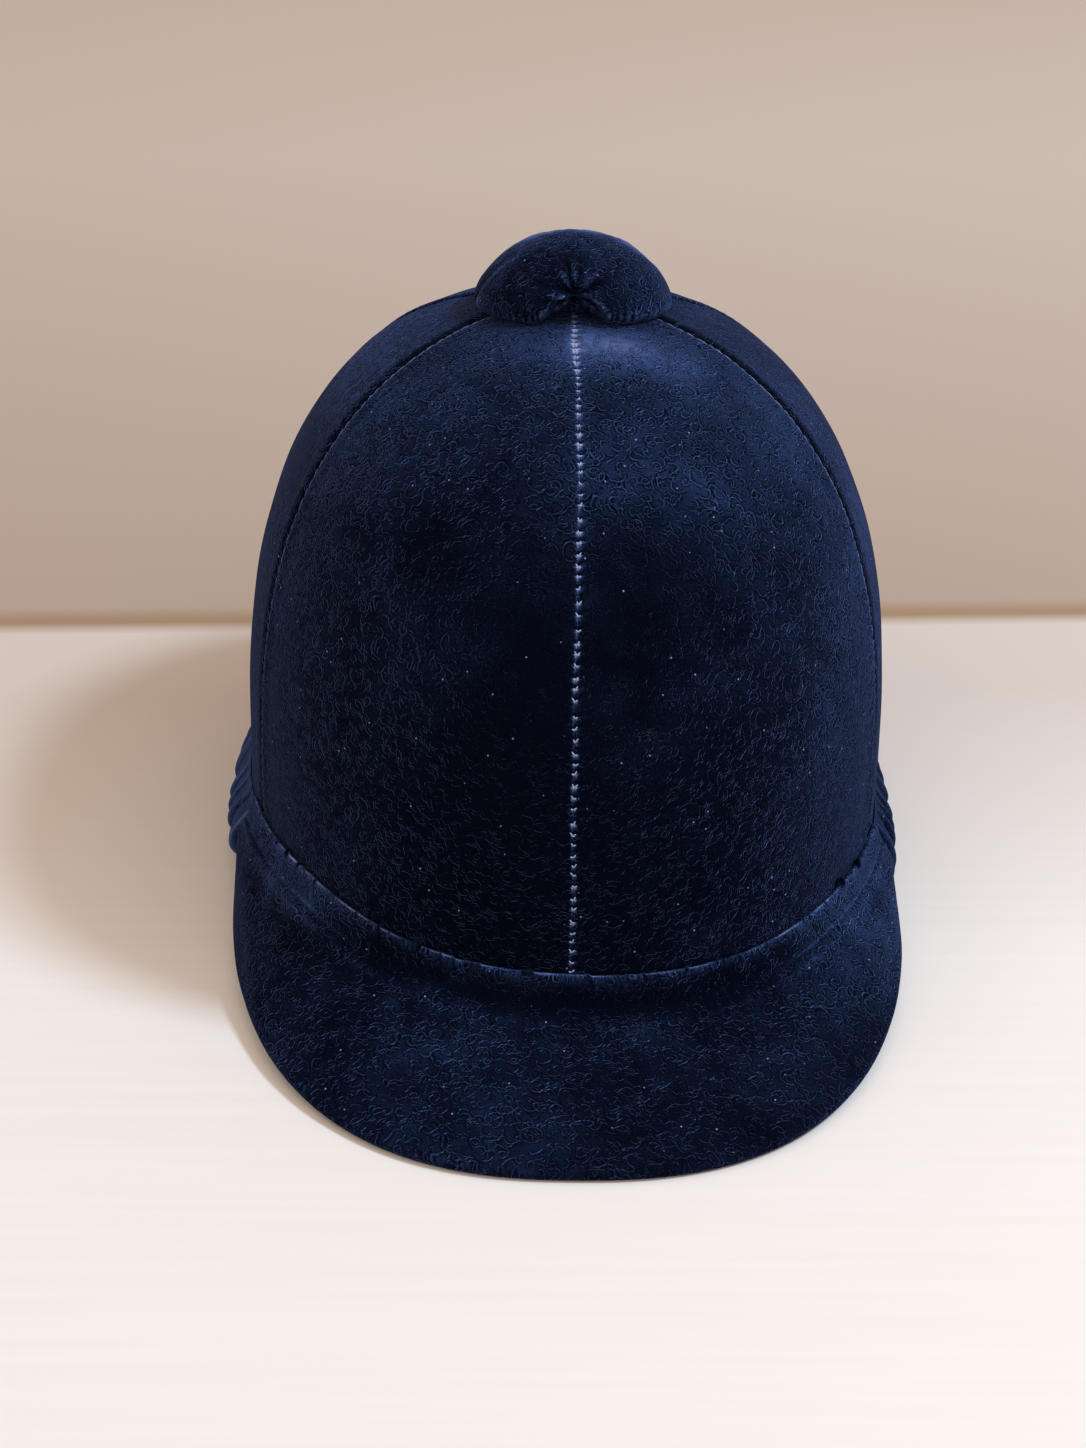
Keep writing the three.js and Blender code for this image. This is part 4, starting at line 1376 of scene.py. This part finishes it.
def build_light():
    world = bpy.data.worlds.new("Soft studio")
    bpy.context.scene.world = world
    world.use_nodes = True
    tree = world.node_tree
    tree.nodes.clear()
    room = add_node(
        tree, "Background", {"Color": opaque(linear_colour(ROOM_COLOUR)), "Strength": ROOM_STRENGTH})
    add_node(tree, "OutputWorld", {"Surface": room})
    data = bpy.data.lights.new("right window", "AREA")
    data.shape = "DISK"
    data.size = WINDOW["size"]
    data.energy = WINDOW["power"]
    data.color = linear_colour(WINDOW["colour"])
    light = link(bpy.data.objects.new("right window", data))
    light.location = WINDOW["place"]
    facing = Vector(WINDOW["target"]) - Vector(WINDOW["place"])
    light.rotation_euler = facing.to_track_quat("-Z", "Y").to_euler()
    bpy.context.scene.view_settings.view_transform = "Standard"


def build_camera():
    place = Vector(CAMERA["place"]) * MILLIMETRE
    forward = (Vector(CAMERA["target"]) * MILLIMETRE - place).normalized()
    right = forward.cross(Vector((0, 0, 1))).normalized()
    up = right.cross(forward)
    cosine, sine = math.cos(CAMERA["roll"]), math.sin(CAMERA["roll"])
    rolled_right = right * cosine + up * sine
    rolled_up = up * cosine - right * sine
    data = bpy.data.cameras.new("camera")
    data.sensor_width = CAMERA["sensor"]
    data.lens = CAMERA["lens"]
    data.clip_start = 0.01
    data.clip_end = 20.0
    camera = link(bpy.data.objects.new("camera", data))
    turned = Matrix((rolled_right, rolled_up, -forward)).transposed().to_4x4()
    camera.matrix_world = Matrix.Translation(place) @ turned
    bpy.context.scene.camera = camera


class HUNTCAP_OT_crown_panels(bpy.types.Operator):
    """Make the six velvet panels of the crown"""
    bl_idname = "huntcap.crown_panels"
    bl_label = "Crown panels"

    def execute(self, context):
        for panel in PANELS:
            build_panel(panel)
        return {"FINISHED"}


class HUNTCAP_OT_centre_stitches(bpy.types.Operator):
    """Sew the thread that shows in the centre seams"""
    bl_idname = "huntcap.centre_stitches"
    bl_label = "Centre seam stitches"

    def execute(self, context):
        build_stitches()
        return {"FINISHED"}


class HUNTCAP_OT_peak_cover(bpy.types.Operator):
    """Draw the velvet over the peak and up into the collar"""
    bl_idname = "huntcap.peak_cover"
    bl_label = "Peak and collar"

    def execute(self, context):
        build_cover()
        return {"FINISHED"}


class HUNTCAP_OT_gathered_band(bpy.types.Operator):
    """Gather the band into folds behind the peak"""
    bl_idname = "huntcap.gathered_band"
    bl_label = "Gathered band"

    def execute(self, context):
        build_band()
        return {"FINISHED"}


class HUNTCAP_OT_crown_button(bpy.types.Operator):
    """Make the padded button over the apex"""
    bl_idname = "huntcap.crown_button"
    bl_label = "Crown button"

    def execute(self, context):
        build_button()
        return {"FINISHED"}


class HUNTCAP_OT_stage(bpy.types.Operator):
    """Set up the floor, the soft light and the camera"""
    bl_idname = "huntcap.stage"
    bl_label = "Stage"

    def execute(self, context):
        build_floor()
        build_light()
        build_camera()
        return {"FINISHED"}


class HUNTCAP_PT_sidebar(bpy.types.Panel):
    """The steps that dress the cap"""
    bl_idname = "HUNTCAP_PT_sidebar"
    bl_label = "Hunt cap"
    bl_space_type = "VIEW_3D"
    bl_region_type = "UI"
    bl_category = "Hunt cap"

    def draw(self, context):
        for operator in OPERATORS:
            self.layout.operator(operator.bl_idname)
        for group in (context.scene.hunt_cap_sizes, context.scene.hunt_cap_colours):
            for name in group.__annotations__:
                self.layout.prop(group, name)


OPERATORS = (
    HUNTCAP_OT_stage,
    HUNTCAP_OT_crown_panels,
    HUNTCAP_OT_centre_stitches,
    HUNTCAP_OT_peak_cover,
    HUNTCAP_OT_gathered_band,
    HUNTCAP_OT_crown_button,
)
CLASSES = (HuntCapSizes, HuntCapColours, *OPERATORS, HUNTCAP_PT_sidebar)


def register():
    for each in CLASSES:
        bpy.utils.register_class(each)
    bpy.types.Scene.hunt_cap_sizes = bpy.props.PointerProperty(type=HuntCapSizes)
    bpy.types.Scene.hunt_cap_colours = bpy.props.PointerProperty(type=HuntCapColours)


def unregister():
    del bpy.types.Scene.hunt_cap_colours
    del bpy.types.Scene.hunt_cap_sizes
    for each in reversed(CLASSES):
        bpy.utils.unregister_class(each)


def main():
    register()
    bpy.ops.huntcap.stage()
    bpy.ops.huntcap.crown_panels()
    bpy.ops.huntcap.centre_stitches()
    bpy.ops.huntcap.peak_cover()
    bpy.ops.huntcap.gathered_band()
    bpy.ops.huntcap.crown_button()


if __name__ == "__main__":
    main()
